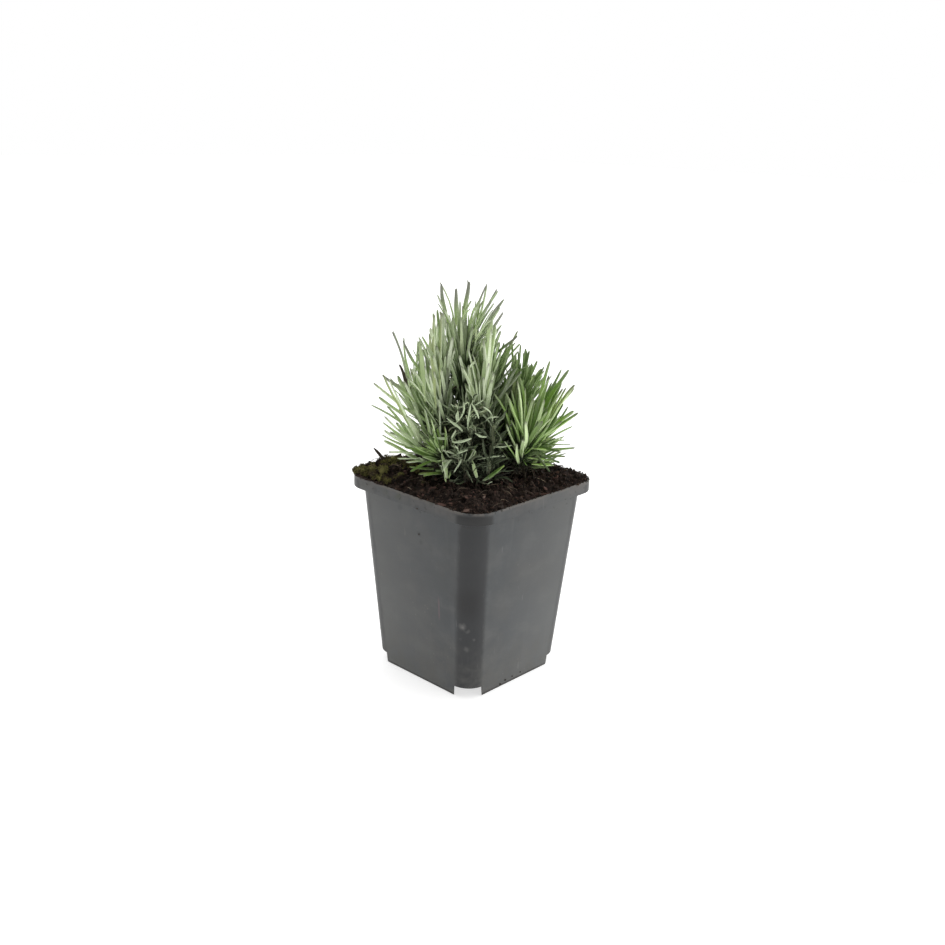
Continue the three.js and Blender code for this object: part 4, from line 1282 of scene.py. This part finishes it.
# %% [markdown]
# ### Shade inside the clump
# Little light gets deep into a clump, and the photograph shows its inner leaves nearly black. Leaves
# that stand this thinly can't shut it out by themselves, so every point is told how crowded it is. A
# coarse map of cubes counts the leaf in each, and a point asks four cubes on its way out and up. A few
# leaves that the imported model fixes, and that would shine where the clump is dark, get a least shade.

# %% How crowded it is
CELL, CELLS = 3.0, 64
CELL_ORIGIN = np.array((-CELLS * CELL / 2, -CELLS * CELL / 2, POT_HEIGHT - 20))
LOOK_OUT = np.array((3.5, 7, 11, 16))  # how far out and up from a place its light comes, in millimetres
WAY_OUT, WAY_UP = 0.75, 0.65
CROWD_LIMIT = 26.0


def cell_of(points):
    """The cube of the map that each point is in."""
    return tuple(np.clip(((points - CELL_ORIGIN) / CELL).astype(int), 0, CELLS - 1).T)


crowd_map = np.zeros((CELLS, CELLS, CELLS))
for grown in leaves:
    for leaf in grown:
        np.add.at(crowd_map, cell_of(leaf["curve"].at(np.linspace(0, 1, 9))), leaf["width"])
for axis in (0, 1, 2):
    crowd_map = (np.roll(crowd_map, 1, axis) + crowd_map + np.roll(crowd_map, -1, axis)) / 3


def crowding(points):
    """How many leaves stand between a place and the open air, from 0 to 1."""
    outward = points * (1, 1, 0) / np.maximum(np.linalg.norm(points[:, :2], axis=1), 1)[:, None]
    way = outward * WAY_OUT + np.array((0, 0, WAY_UP))
    met = sum(crowd_map[cell_of(points + way * reach)] for reach in LOOK_OUT)
    return np.clip(met / CROWD_LIMIT, 0, 1)


sample = np.concatenate([leaf["curve"].at(np.linspace(0, 1, 4)) for grown in leaves for leaf in grown])
print("crowding, quarter points:", np.percentile(crowding(sample), (10, 25, 50, 75, 90)).round(2))

# %% Least shade
SHADED = {  # the room for a leaf's tip, right and rise, and the least shade of such a leaf
    "middle_front_shoot": ((9, 30), (20, 62), 0.68),
    "left_tall_shoot": ((-16, -5), (30, 60), 0.62),
    "right_fan_shoot": ((28, 52), (5, 25), 0.66),
    "old_twig_right": ((-10, 22), (8, 27), 0.6),
    "old_twig_low_right": ((-10, 22), (0, 30), 0.55),
    "old_twig_low_left": ((-20, 8), (0, 24), 0.45),
    "old_twig_left": ((-20, 8), (10, 36), 0.4),
}
NOT_SHADED = ((0, 0), (0, 0), 0.0)


def least_shade(shoot, tip):
    """The least shade of a leaf, by its stem and by where its tip is."""
    (left, right), (low, high), shade = SHADED.get(NAMES[shoot], NOT_SHADED)
    return shade if left < tip[0] < right and low < tip[2] - POT_HEIGHT < high else 0.0

# %% [markdown]
# ## The leaves themselves
# A lavender leaf is a narrow strap with a blunt tip. Its margins roll under, a groove runs along the
# top and the midrib stands out below. The whole section is swept along the midrib as one closed skin.
# Small leaves get a simpler section. Each point also keeps how far along and across its leaf it is, and
# a few draws of its own, for the material.

# %% Leaf sections
WIDE_SECTION = np.array((  # across in half widths, and down in millimetres
    (-1.0, 0.16), (-0.90, 0.62), (-0.58, 0.34), (0, 0.52), (0.58, 0.34), (0.90, 0.62),
    (1.0, 0.16), (0.80, -0.30), (0.40, -0.38), (0, -0.12), (-0.40, -0.38), (-0.80, -0.30),
))
SMALL_SECTION = np.array((
    (-1.0, 0.08), (-0.70, 0.46), (0.70, 0.46), (1.0, 0.08), (0.50, -0.36), (0, -0.12), (-0.50, -0.36),
))
WIDE_STATIONS = np.array((0, 0.06, 0.14, 0.26, 0.42, 0.58, 0.73, 0.86, 0.94, 0.975, 0.993, 1.0))
SMALL_STATIONS = np.array((0, 0.14, 0.34, 0.58, 0.80, 0.95, 1.0))
SMALL_WIDTH = 1.7  # leaves that are narrower than this get the small section
SECTION_WIDTH = 2.2  # the leaf width that the sections are drawn for
BLUNT_END = 0.08  # share of a leaf's length over which its tip rounds off


def leaf_outline(u, slim):
    """Half width of a leaf along its length, from 0 to 1."""
    base = 0.30 + 0.70 * smoothstep(u, -0.05, 0.5)
    taper = 1 - slim * smoothstep(u, 0.5, 0.98)
    end = np.sqrt(np.clip(1 - np.clip((u - 1 + BLUNT_END) / BLUNT_END, 0, 1) ** 2, 0.02, 1))
    return base * taper * end

# %% How a leaf lies
SLIMMER, SLIMMER_OLD = 0.76, 0.58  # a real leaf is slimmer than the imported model's plain one
SLIMMER_FORWARD = 0.35  # how much slimmer a leaf is that points straight to the front
BROAD_OLD, BROAD_SHARE = 1.35, 0.72
EDGE_ON = 55  # how far a leaf that points to the front turns its edge up, in degrees


def leaf_width(leaf, key, shrivelled, forward):
    width = leaf["width"] * (SLIMMER_OLD if shrivelled else SLIMMER * between(0.82, 1.18, *key, 14))
    width = width * (1 - SLIMMER_FORWARD * forward)
    return width * BROAD_OLD if shrivelled and draw(*key, 9) > BROAD_SHARE else width


def leaf_twist(key, stations, shrivelled, forward):
    """How far the leaf is turned about its midrib at each station."""
    twist = np.radians(between(-30, 30, *key, 1) + stations * between(-22, 22, *key, 2))
    twist = twist * (3 if shrivelled else 1)
    return twist + np.radians(EDGE_ON) * forward * (1 if draw(*key, 16) > 0.5 else -1)


def leaf_middle(curve, key, stations, sideways, face, length, shrivelled):
    """The middle of a leaf at each station, with a sway and a ripple, or a hook if it is shrivelled."""
    curl = 3.5 if shrivelled else 1.0
    sway = between(-0.035, 0.035, *key, 3) * curl * length * np.sin(math.pi * stations) ** 2
    ripple = between(-0.02, 0.02, *key, 4) * curl * length * np.sin(2 * math.pi * stations)
    middle = curve.at(stations) + sideways * sway[:, None] + face * ripple[:, None]
    if shrivelled:
        hook = between(-0.8, 0.8, *key, 11) * length * stations ** 3
        middle = middle + (sideways * draw(*key, 12) + face * draw(*key, 13)) * hook[:, None]
    return middle

# %% Looks of a leaf
LOW_REACH = 34  # leaves that start lower than this above the rim are yellowed by age


def looks_of(leaf, shoot, key):
    """The numbers that the leaf's material reads, each from 0 to 1."""
    curve, kind = leaf["curve"], leaf["kind"]
    lowness = np.clip(1 - (curve.at(0.0)[2] - POT_HEIGHT) / LOW_REACH, 0, 1)
    looks = dict(
        tone=draw(*key, 8),
        hue=draw(*key, 9),
        age=between(0.6, 1, *key, 10) if kind == "old" else 0.35 * lowness * draw(*key, 10),
        dusk=0.45 * draw(*key, 15) ** 2 * float(smoothstep(curve.end[2] - POT_HEIGHT, 40, 80)),
        dead=float(kind == "dead"),
    )
    if NAMES[shoot] in BARE_TWIGS:
        looks["hue"] *= 0.55
        looks["tone"] *= 0.7
    looks.update(leaf.get("looks", {}))
    return looks

# %% Leaf skin
def add_leaf(pile, leaf, shoot, number):
    """Sweeps a leaf's section along its midrib and adds the skin to a pile."""
    key = (shoot, number, 61)
    kind, curve = leaf["kind"], leaf["curve"]
    shrivelled = kind in ("old", "dead")
    small = kind == "young" or leaf["width"] < SMALL_WIDTH
    section, stations = (SMALL_SECTION, SMALL_STATIONS) if small else (WIDE_SECTION, WIDE_STATIONS)
    chord = curve.end - curve.start
    length = np.linalg.norm(chord)
    forward = max(0, -chord[1] / length) ** 2
    sideways = unit(np.cross(leaf["along"], chord))
    face = np.cross(sideways, curve.heading(stations))
    middle = leaf_middle(curve, key, stations, sideways, face, length, shrivelled)
    twist = leaf_twist(key, stations, shrivelled, forward)[:, None]
    turned = sideways * np.cos(twist) + face * np.sin(twist)
    down = face * np.cos(twist) - sideways * np.sin(twist)
    width = leaf_width(leaf, key, shrivelled, forward)
    half = width / 2 * leaf_outline(stations, between(0.2, 0.55, *key, 5))
    rolled = (0.9 if shrivelled else 0.3) * between(0, 1, *key, 6)
    thick = width / SECTION_WIDTH * (half / half.max()) ** 0.7
    thick = thick * (1 + 0.12 * np.sin(9 * stations + 6.28 * draw(*key, 7)))
    wide = section[:, 0][None, :, None] * half[:, None, None]
    deep = section[:, 1][None, :, None] * thick[:, None, None]
    deep = deep + (section[:, 0] ** 2 * 0.22 * rolled)[None, :, None] * width
    points, faces = skin(middle[:, None] + turned[:, None] * wide + down[:, None] * deep)
    shade = 0.0 if "looks" in leaf else least_shade(shoot, curve.end)
    pile.add(
        in_pot(points), faces,
        along=np.repeat(stations, len(section)),
        across=np.tile(section[:, 0], len(stations)),
        under=np.tile((section[:, 1] > 0.1).astype(float), len(stations)),
        crowd=np.repeat(np.maximum(crowding(middle), shade), len(section)),
        woody=0.0,
        **looks_of(leaf, shoot, key),
    )

# %% [markdown]
# ### Stems
# A young lavender stem is square with rounded shoulders, a little swollen at each pair of leaves, and
# woody and brown towards its foot. A plain tube would do far away. Here the radius of the tube changes
# round it, for the shoulders, and along it, for the swellings.

# %% Stem skins
STEM_SIDES, SPRIG_SIDES = 12, 6
SWELLING, CORNERS, KNOTS = 0.12, 0.07, 0.05  # shares of the radius


def around(first, second, angle):
    """Directions round a line at each angle, from two directions across it at each station."""
    return first[:, None] * np.cos(angle)[None, :, None] + second[:, None] * np.sin(angle)[None, :, None]


def add_stem(pile, stem, pairs, shoot, thickness=1.0, buried=9.0, stations=34):
    """A square-shouldered stem with a swelling at each pair of leaves."""
    sides = STEM_SIDES if thickness == 1 else SPRIG_SIDES
    t = np.linspace(0, 1, stations)
    centre = stem.at(t)
    first = np.array([across(h) for h in stem.heading(t)])
    second = np.cross(stem.heading(t), first)
    swelling = SWELLING * np.exp(-(((t * pairs) % 1 - 0.55) / 0.12) ** 2)
    radius = thickness * stem_radius(t) * (0.86 + swelling) * np.where(t > 0.985, 0.35, 1)
    if buried:
        centre = np.concatenate([[stem.at(0.0) - np.array((0, 0, buried))], centre])
        first, second = (np.concatenate([v[:1], v]) for v in (first, second))
        radius = np.concatenate([radius[:1], radius])
    angle = np.arange(sides) / sides * 2 * math.pi
    level = np.arange(len(radius))[:, None]
    rough = 1 + KNOTS * np.sin(5 * angle[None] + 23 * level + shoot)
    rough = (1 + CORNERS * np.cos(4 * angle)[None]) * rough
    reach = (radius[:, None] * rough)[..., None]
    points, faces = skin(centre[:, None] + reach * around(first, second, angle))
    share = np.repeat(np.linspace(0, 1, len(radius)), sides)
    woody = np.clip(1.25 - share, 0.25, 1) if thickness == 1 else 0.4
    pile.add(in_pot(points), faces, along=share, across=0.0, under=0.0, tone=draw(shoot, 71),
             hue=draw(shoot, 72), age=0.0, dusk=0.0, dead=0.0, woody=woody,
             crowd=np.repeat(crowding(centre), sides))

# %% [markdown]
# ### The leaf's finish
# Short star-shaped hairs cover every leaf, so it is green only where they are thin: in the groove, at
# the base and on young leaves. Each leaf could be a flat green with some gloss, but the down is what
# makes it lavender. Here it is a pale layer that noise breaks up, thicker on the underside and the
# margins, with a soft sheen. Old leaves turn tan from the tip.

# %% Leaf finish
LEAF_NUMBERS = ("along", "across", "under", "tone", "hue", "age", "dusk", "dead", "woody", "crowd")
YELLOWISH, YOUNG_GREEN = (0.33, 0.38, 0.065), (0.30, 0.41, 0.085)
GREY_TIP, DUSK_GREY, BROWN_TIP = (0.30, 0.31, 0.26), (0.23, 0.23, 0.205), (0.075, 0.072, 0.045)
STRAW, ROTTEN, WITHERED_BROWN = (0.30, 0.265, 0.18), (0.014, 0.012, 0.008), (0.075, 0.058, 0.036)
GREEN_BARK, BROWN_BARK = (0.28, 0.31, 0.19), (0.11, 0.09, 0.065)


def leaf_finish(name, deep, bright, down, downiness, shadow, uneven, grey_tip):
    leaf = Finish(name)
    where = leaf.place()
    along, beside, under, tone, hue, age, dusk, dead, woody, crowd = map(leaf.number, LEAF_NUMBERS)
    mottle, hairs = leaf.noise(where, 620, 2), leaf.noise(where, 2600, 2)
    leaf.colour = leaf.mix(deep, bright, tone * 0.7 + mottle * 0.5 - 0.1)
    leaf.coat(YELLOWISH, leaf.ramp(hue, 0.55, 1.0) * 0.6)
    leaf.coat(YOUNG_GREEN, leaf.ramp(along, 0.34, 0.0) * (1 - age) * 0.55)
    layer = under * 0.40 + leaf.ramp(abs(beside), 0.72, 1.0) * 0.30 + downiness
    layer = layer * leaf.ramp(hairs, 0.25, 0.7, 0.6, 1.1) * leaf.ramp(tone, 0.0, 1.0, 0.5, 1.3)
    leaf.coat(down, layer * leaf.ramp(hue, 0.35, 0.75, 1 / uneven, uneven))
    leaf.coat(GREY_TIP, leaf.ramp(along, 0.7, 1.0) * (1 - dead) * grey_tip)
    leaf.coat(DUSK_GREY, leaf.ramp(along, 0.2, 0.85) * dusk * 0.85)
    leaf.coat(BROWN_TIP, leaf.ramp(along, 0.9, 1.0) * leaf.ramp(hue, 0.1, 0.6) * (0.6 + age * 0.3))
    dry = leaf.ramp(age + mottle * 0.35 + along * 0.3, 0.95, 1.4) * leaf.ramp(hue, 0.78, 0.92)
    leaf.coat(STRAW, dry * 0.85)
    leaf.coat(shadow, leaf.ramp(crowd + mottle * 0.3, 0.3, 1.05) * 0.92)
    leaf.coat(leaf.mix(ROTTEN, WITHERED_BROWN, tone * tone * mottle * 1.6), dead)
    bark = leaf.mix(GREEN_BARK, BROWN_BARK, leaf.ramp(woody + mottle * 0.4, 0.7, 1.25))
    leaf.coat(bark, leaf.ramp(woody, 0.0, 0.2))
    relief = hairs + leaf.noise(where, 900, 2) * 0.6
    return leaf.end(
        Base_Color=leaf.colour, Roughness=0.75, Normal=leaf.bump(relief, 0.35, 0.0002),
        Sheen_Weight=0.12, Sheen_Roughness=0.5, Sheen_Tint=(0.94, 1.0, 0.85, 1), Specular_IOR_Level=0.2)

# %% Four leaf materials
LEAF_LOOKS = {
    "leaf_fresh": dict(deep=(0.064, 0.165, 0.010), bright=(0.25, 0.44, 0.045), down=(0.74, 0.90, 0.50),
                       downiness=0.13, shadow=(0.010, 0.034, 0.002), uneven=2.0, grey_tip=0.5),
    "leaf_grey": dict(deep=(0.155, 0.275, 0.055), bright=(0.44, 0.61, 0.185), down=(0.88, 0.98, 0.72),
                      downiness=0.37, shadow=(0.018, 0.038, 0.006), uneven=1.25, grey_tip=0.3),
    # leaf_dark is the leaf finish darkened: painted shade for stems in the shade of the clump
    "leaf_dark": dict(deep=(0.044, 0.100, 0.010), bright=(0.185, 0.325, 0.040), down=(0.60, 0.76, 0.40),
                      downiness=0.14, shadow=(0.008, 0.020, 0.002), uneven=1.8, grey_tip=0.1),
    "leaf_old": dict(deep=(0.010, 0.022, 0.004), bright=(0.058, 0.095, 0.022), down=(0.70, 0.82, 0.55),
                     downiness=0.30, shadow=(0.006, 0.010, 0.002), uneven=3.2, grey_tip=0.1),
}
leaf_materials = {name: leaf_finish(name, **looks) for name, looks in LEAF_LOOKS.items()}
# these stems get the leaf_dark finish, which is painted shade
DARK_STEMS = ("middle_right_shoot", "far_right_shoot", "left_front_shoot", "right_back_shoot",
              "back_right_shoot")
FINISH_OF = {"right_fan_shoot": "leaf_fresh", **dict.fromkeys(DARK_STEMS, "leaf_dark")}

# %% [markdown]
# ### Putting the plants together
# Each leafy stem of the imported model becomes one object: its stem, its side shoots and all its leaves.
# The object takes the place of the plain one. Most stems are grey-green. Those in the shade of the
# clump get a darker copy of the finish, which paints their shade in. The fan at the right is the
# freshest, and the old twigs are the dullest.

# %% Plants
for shoot, plant in enumerate(PLANTS):
    pile = Pile()
    add_stem(pile, stems[shoot], plant["pairs"], shoot)
    for sprig in sprigs[shoot]:
        add_stem(pile, sprig["stem"], sprig["pairs"], shoot, sprig["thickness"], buried=0, stations=7)
    for number, leaf in enumerate(leaves[shoot]):
        add_leaf(pile, leaf, shoot, number)
    finish = "leaf_old" if plant["old"] else FINISH_OF.get(plant["name"], "leaf_grey")
    pile.make(plant["name"] + "_leaves", leaf_materials[finish], [plant["name"]])

# %% [markdown]
# ## Loose things on the peat
# Potting mix is never smooth. Crumbs and bark chips lie on it, some on the pot's rim, with pale fibres,
# a thin dead twig and, where the peat stays wet, a cushion of moss. They could be a bump in the
# material, but from this near their edges and shadows show, so each one is a small body of its own:
# one lump or splinter, repeated with a random shape, size and turn.

# %% Bodies to scatter
def ball(subdivisions):
    """Points and faces of a ball of triangles with a radius of one."""
    shape = bmesh.new()
    bmesh.ops.create_icosphere(shape, subdivisions=subdivisions, radius=1)
    points = np.array([vertex.co[:] for vertex in shape.verts])
    faces = [tuple(vertex.index for vertex in face.verts) for face in shape.faces]
    shape.free()
    return points, faces


GRAIN = (
    np.array(((1, 0, 0), (-1, 0, 0), (0, 1, 0), (0, -1, 0), (0, 0, 1), (0, 0, -1)), float),
    [(0, 2, 4), (2, 1, 4), (1, 3, 4), (3, 0, 4), (2, 0, 5), (1, 2, 5), (3, 1, 5), (0, 3, 5)],
)
square = np.array(((1, 1), (-1, 1), (-1, -1), (1, -1)), float)
SPLINTER = skin([np.column_stack([np.full(4, x), square * breadth])
                 for x, breadth in ((-1, 0.55), (-0.6, 0.95), (0.1, 1.0), (0.7, 0.8), (1, 0.4))])
print("points of a grain, a splinter and two balls:",
      [len(points) for points, _ in (GRAIN, SPLINTER, ball(1), ball(2))])

# %% Scattering
def turned_about(axis, angles):
    """Turns about one axis, as matrices."""
    first, second = ((1, 2), (2, 0), (0, 1))[axis]
    made = np.tile(np.eye(3), (len(angles), 1, 1))
    made[:, first, first] = made[:, second, second] = np.cos(angles)
    made[:, second, first] = np.sin(angles)
    made[:, first, second] = -np.sin(angles)
    return made


def random_turns(count, tilt=math.pi):
    """Any turn about Z, after tilts of up to an angle."""
    tips = turned_about(0, random.uniform(-tilt, tilt, count)) @ turned_about(
        1, random.uniform(-tilt, tilt, count))
    return turned_about(2, random.uniform(0, 2 * math.pi, count)) @ tips


def scatter(pile, body, places, scales, turns, roughness, hue):
    """Adds a copy of a body at each place, with its own scale along each axis and its own bumps."""
    points, faces = body
    count, size = len(places), len(points)
    bumps = 1 + random.uniform(-roughness, roughness, (count, size, 1))
    shapes = points[None] * bumps * scales[:, None]
    moved = places[:, None] + np.einsum("nij,nkj->nki", turns, shapes)
    all_faces = [tuple(n * size + i for i in face) for n in range(count) for face in faces]
    pile.add(moved.reshape(-1, 3), all_faces, tone=np.repeat(random.random(count), size),
             hue=np.repeat(hue * np.ones(count), size))

# %% Where things lie
SOIL_REACH = RIM_SIDE / 2 - WALL - GAP
EDGE_ROOM = 0.4


def raised(height):
    """Steps straight up, one for each height."""
    return np.column_stack([np.zeros((len(height), 2)), height])


def on_peat(count, reach=SOIL_REACH - EDGE_ROOM):
    """Random places on the peat, inside its rounded outline."""
    spots = random.uniform(-reach, reach, (count * 2, 2))
    corner = np.maximum(np.abs(spots) - (RIM_SIDE / 2 - RIM_RADIUS), 0)
    spots = spots[np.linalg.norm(corner, axis=1) < RIM_RADIUS - WALL - GAP - EDGE_ROOM][:count]
    return np.column_stack([spots, peat_top(spots[:, 0], spots[:, 1])])


def on_lip(count, low, high):
    """Random places on the pot's lip, from one share of its outline to another."""
    outline = rim_ring(POT_HEIGHT, WALL / 2, side_steps=60)
    chosen = outline[(random.uniform(low, high, count) * len(outline)).astype(int) % len(outline)]
    return chosen + random.normal(0, 0.35, (count, 3)) * (1, 1, 0)


def sizes(count, low, high, power=2.0):
    """Radii with many small ones and few large ones."""
    return low + (high - low) * random.random(count) ** power

# %% Crumbs and chips
def crumbs(pile, body, places, radii, hue, sunk=0.1, roughness=0.22):
    """Scatters lumps, each sunk a little way into what it lies on."""
    scales = radii[:, None] * random.uniform(0.6, 1.15, (len(places), 3))
    places = places + raised(radii * (0.6 - sunk))
    scatter(pile, body, places, scales, random_turns(len(places)), roughness, hue)


def chips(pile, places, lengths, hue, tilt=0.55):
    """Scatters flat splinters that lie nearly level."""
    count = len(places)
    scales = np.column_stack([lengths / 2, lengths * random.uniform(0.14, 0.34, count),
                              lengths * random.uniform(0.07, 0.14, count)])
    places = places + raised(lengths * 0.12)
    scatter(pile, SPLINTER, places, scales, random_turns(count, tilt), 0.12, hue)


loose = Pile()
crumbs(loose, GRAIN, on_peat(5200), sizes(5200, 0.22, 0.55), random.random(5200) * 0.8)
crumbs(loose, ball(1), on_peat(1100), sizes(1100, 0.45, 1.05), random.random(1100) * 0.8)
crumbs(loose, ball(2), on_peat(110), sizes(110, 0.8, 1.4), random.random(110) * 0.5, 0.4, 0.3)
chips(loose, on_peat(330), sizes(330, 1.4, 5.0), random.random(330))
print("on the peat, points:", loose.count)

# %% Crumbs on the lip and stuck to the wall
LIP_PARTS = ((0.40, 0.60, 170), (0, 1, 170), (0.92, 1.08, 60))  # shares of the outline, and how many
STUCK = (  # place and size: two grains on the left side, and dirt at the foot of the right side
    (7.9, -45, 94.9, 0.4), (4.0, -39.8, 79.9, 0.35), (33.8, -7.4, 2.7, 0.5),
    (33.8, -2.2, 3.0, 0.45), (33.8, 3.8, 3.1, 0.4), (33.7, -11, 1.7, 0.5),
)

for low, high, count in LIP_PARTS:
    crumbs(loose, GRAIN, on_lip(count, low, high), sizes(count, 0.2, 0.6), random.random(count) * 0.7)
    few = count // 6
    crumbs(loose, ball(1), on_lip(few, low, high), sizes(few, 0.4, 0.9), random.random(few) * 0.6)
stuck = np.array(STUCK, float)
scatter(loose, ball(1), stuck[:, :3], stuck[:, 3:] * np.ones(3), random_turns(len(stuck)), 0.25, 0.2)
print("with those on the pot, points:", loose.count)

# %% Finish of the crumbs and chips
CRUMB_DARK, CRUMB_PALE = (0.010, 0.0075, 0.006), (0.062, 0.042, 0.032)
BARK_RED, BARK_PALE = (0.092, 0.052, 0.042), (0.21, 0.155, 0.125)

crumb = Finish("loose_bits")
hue, tone = crumb.number("hue"), crumb.number("tone")
grain = crumb.noise(crumb.place(), 1400, 3)
crumb.colour = crumb.mix(CRUMB_DARK, CRUMB_PALE, tone * 0.7 + grain * 0.6 - 0.2)
crumb.coat(BARK_RED, crumb.ramp(hue, 0.62, 0.78))
crumb.coat(BARK_PALE, crumb.ramp(hue, 0.92, 0.98))
crumb_material = crumb.end(Base_Color=crumb.colour, Roughness=0.9, Specular_IOR_Level=0.15,
                           Normal=crumb.bump(grain, 0.6, 0.0003))
loose.make("peat_crumbs_and_chips", crumb_material, smooth=False)

# %% [markdown]
# ### Fibres, a twig and moss
# Peat is full of pale root fibres. Each is a thin tube bowed over the surface from one place to another,
# and a thicker one is the dead twig at the left. Moss is a crowd of leafy spikes round a soft lump. A
# plain green lump would look like felt, but the spikes give it the ragged edge that moss has.

# %% Threads
def thread(pile, curve, radius, hue, sides=4, stations=8):
    """A thin tube along a curve, narrower at its ends."""
    t = np.linspace(0, 1, stations)
    heading = curve.heading(t)
    first = np.array([across(h) for h in heading])
    angle = np.arange(sides) / sides * 2 * math.pi
    girth = radius * (1 - 0.7 * np.abs(2 * t - 1) ** 3)[:, None, None]
    rings = curve.at(t)[:, None] + girth * around(first, np.cross(heading, first), angle)
    pile.add(*skin(rings), hue=hue, tone=random.random())


def level_spot(spot):
    """A place on the peat under a spot seen from above."""
    return np.array((*spot, float(peat_top(spot[:1], spot[1:])[0])))

# %% Fibres and twig
DEAD_TWIG = (place(-42, 0, 4), place(-44.5, 0, 8.5), place(-48.6, 1, 13))
FIBRE_DARK, FIBRE_PALE = (0.045, 0.034, 0.026), (0.30, 0.235, 0.165)

fibres = Pile()
for start in on_peat(130, SOIL_REACH - 3):
    turn, length = random.uniform(0, 2 * math.pi), random.uniform(3, 10)
    end = start[:2] + np.array((math.cos(turn), math.sin(turn))) * length
    end = level_spot(np.clip(end, -SOIL_REACH + 2, SOIL_REACH - 2))
    lift = (0, 0, random.uniform(0.3, 1.0))
    bend = (start + end) / 2 + random.normal(0, length * 0.16, 3) * (1, 1, 0)
    bend = bend + (0, 0, random.uniform(0.8, 3))
    thread(fibres, Bow(start + lift, bend, end + lift), random.uniform(0.07, 0.17), random.random())
thread(fibres, Bow(*in_pot(DEAD_TWIG)), 0.85, 0.05, sides=8, stations=14)

fibre = Finish("fibres")
paleness = fibre.ramp(fibre.number("hue"), 0.35, 1.0)
fibre_material = fibre.end(Base_Color=fibre.mix(FIBRE_DARK, FIBRE_PALE, paleness),
                           Roughness=0.85, Specular_IOR_Level=0.2)
fibres.make("peat_fibres_and_twig", fibre_material)

# %% Moss cushions
MOSS_CUSHIONS, SPIKES = 70, 78
CLOSE_SHARE = 0.8  # of the cushions, which crowd round the middle of the moss
MOSS_MIDDLE = np.array((-1, -1)) * 33  # on the heap, in the pot's frame
MOSS_EDGE = SOIL_REACH - 3.4
SPIKE = (np.array(((1, 0, 0), (-0.5, 0.87, 0), (-0.5, -0.87, 0), (0, 0, 1)), float),
         [(0, 2, 1), (0, 1, 3), (1, 2, 3), (2, 0, 3)])


def cushion(pile, centre, radius):
    """Short leafy spikes that stand out all round from one place in the peat."""
    turns = random_turns(SPIKES, 1.25)
    lengths = random.uniform(0.5, 1.1, SPIKES) * 1.1
    roots = centre + np.einsum("nij,j->ni", turns, np.array((0, 0, radius)))
    girths = random.uniform(0.13, 0.24, SPIKES)
    scatter(pile, SPIKE, roots, np.column_stack([girths, girths, lengths]), turns, 0.1, random.random())


moss = Pile()
for number in range(MOSS_CUSHIONS):
    spread = (9, 9) if number < MOSS_CUSHIONS * CLOSE_SHARE else (14, 14)
    centre = level_spot(np.clip(random.normal(MOSS_MIDDLE, spread), -MOSS_EDGE, MOSS_EDGE))
    radius = random.uniform(1.0, 2.6)
    centre[2] -= radius * random.uniform(-0.1, 0.6)
    cushion(moss, centre, radius)
    scatter(moss, ball(2), centre[None], np.full((1, 3), radius * 0.86), random_turns(1), 0.1,
            random.random())
print("moss, points:", moss.count)

# %% Finish of the moss
MOSS_DARK, MOSS_BRIGHT, MOSS_BROWN = (0.030, 0.030, 0.011), (0.31, 0.29, 0.100), (0.075, 0.055, 0.032)

green = Finish("moss")
patches = green.noise(green.place(), 300, 3)
green.colour = green.mix(MOSS_DARK, MOSS_BRIGHT, green.number("tone") * 0.6 + patches * 0.6 - 0.1)
green.coat(MOSS_BROWN, green.ramp(green.number("hue"), 0.5, 0.9) * 0.8)
moss_material = green.end(Base_Color=green.colour, Roughness=0.9, Specular_IOR_Level=0.15)
moss.make("moss_cushions", moss_material, smooth=False)
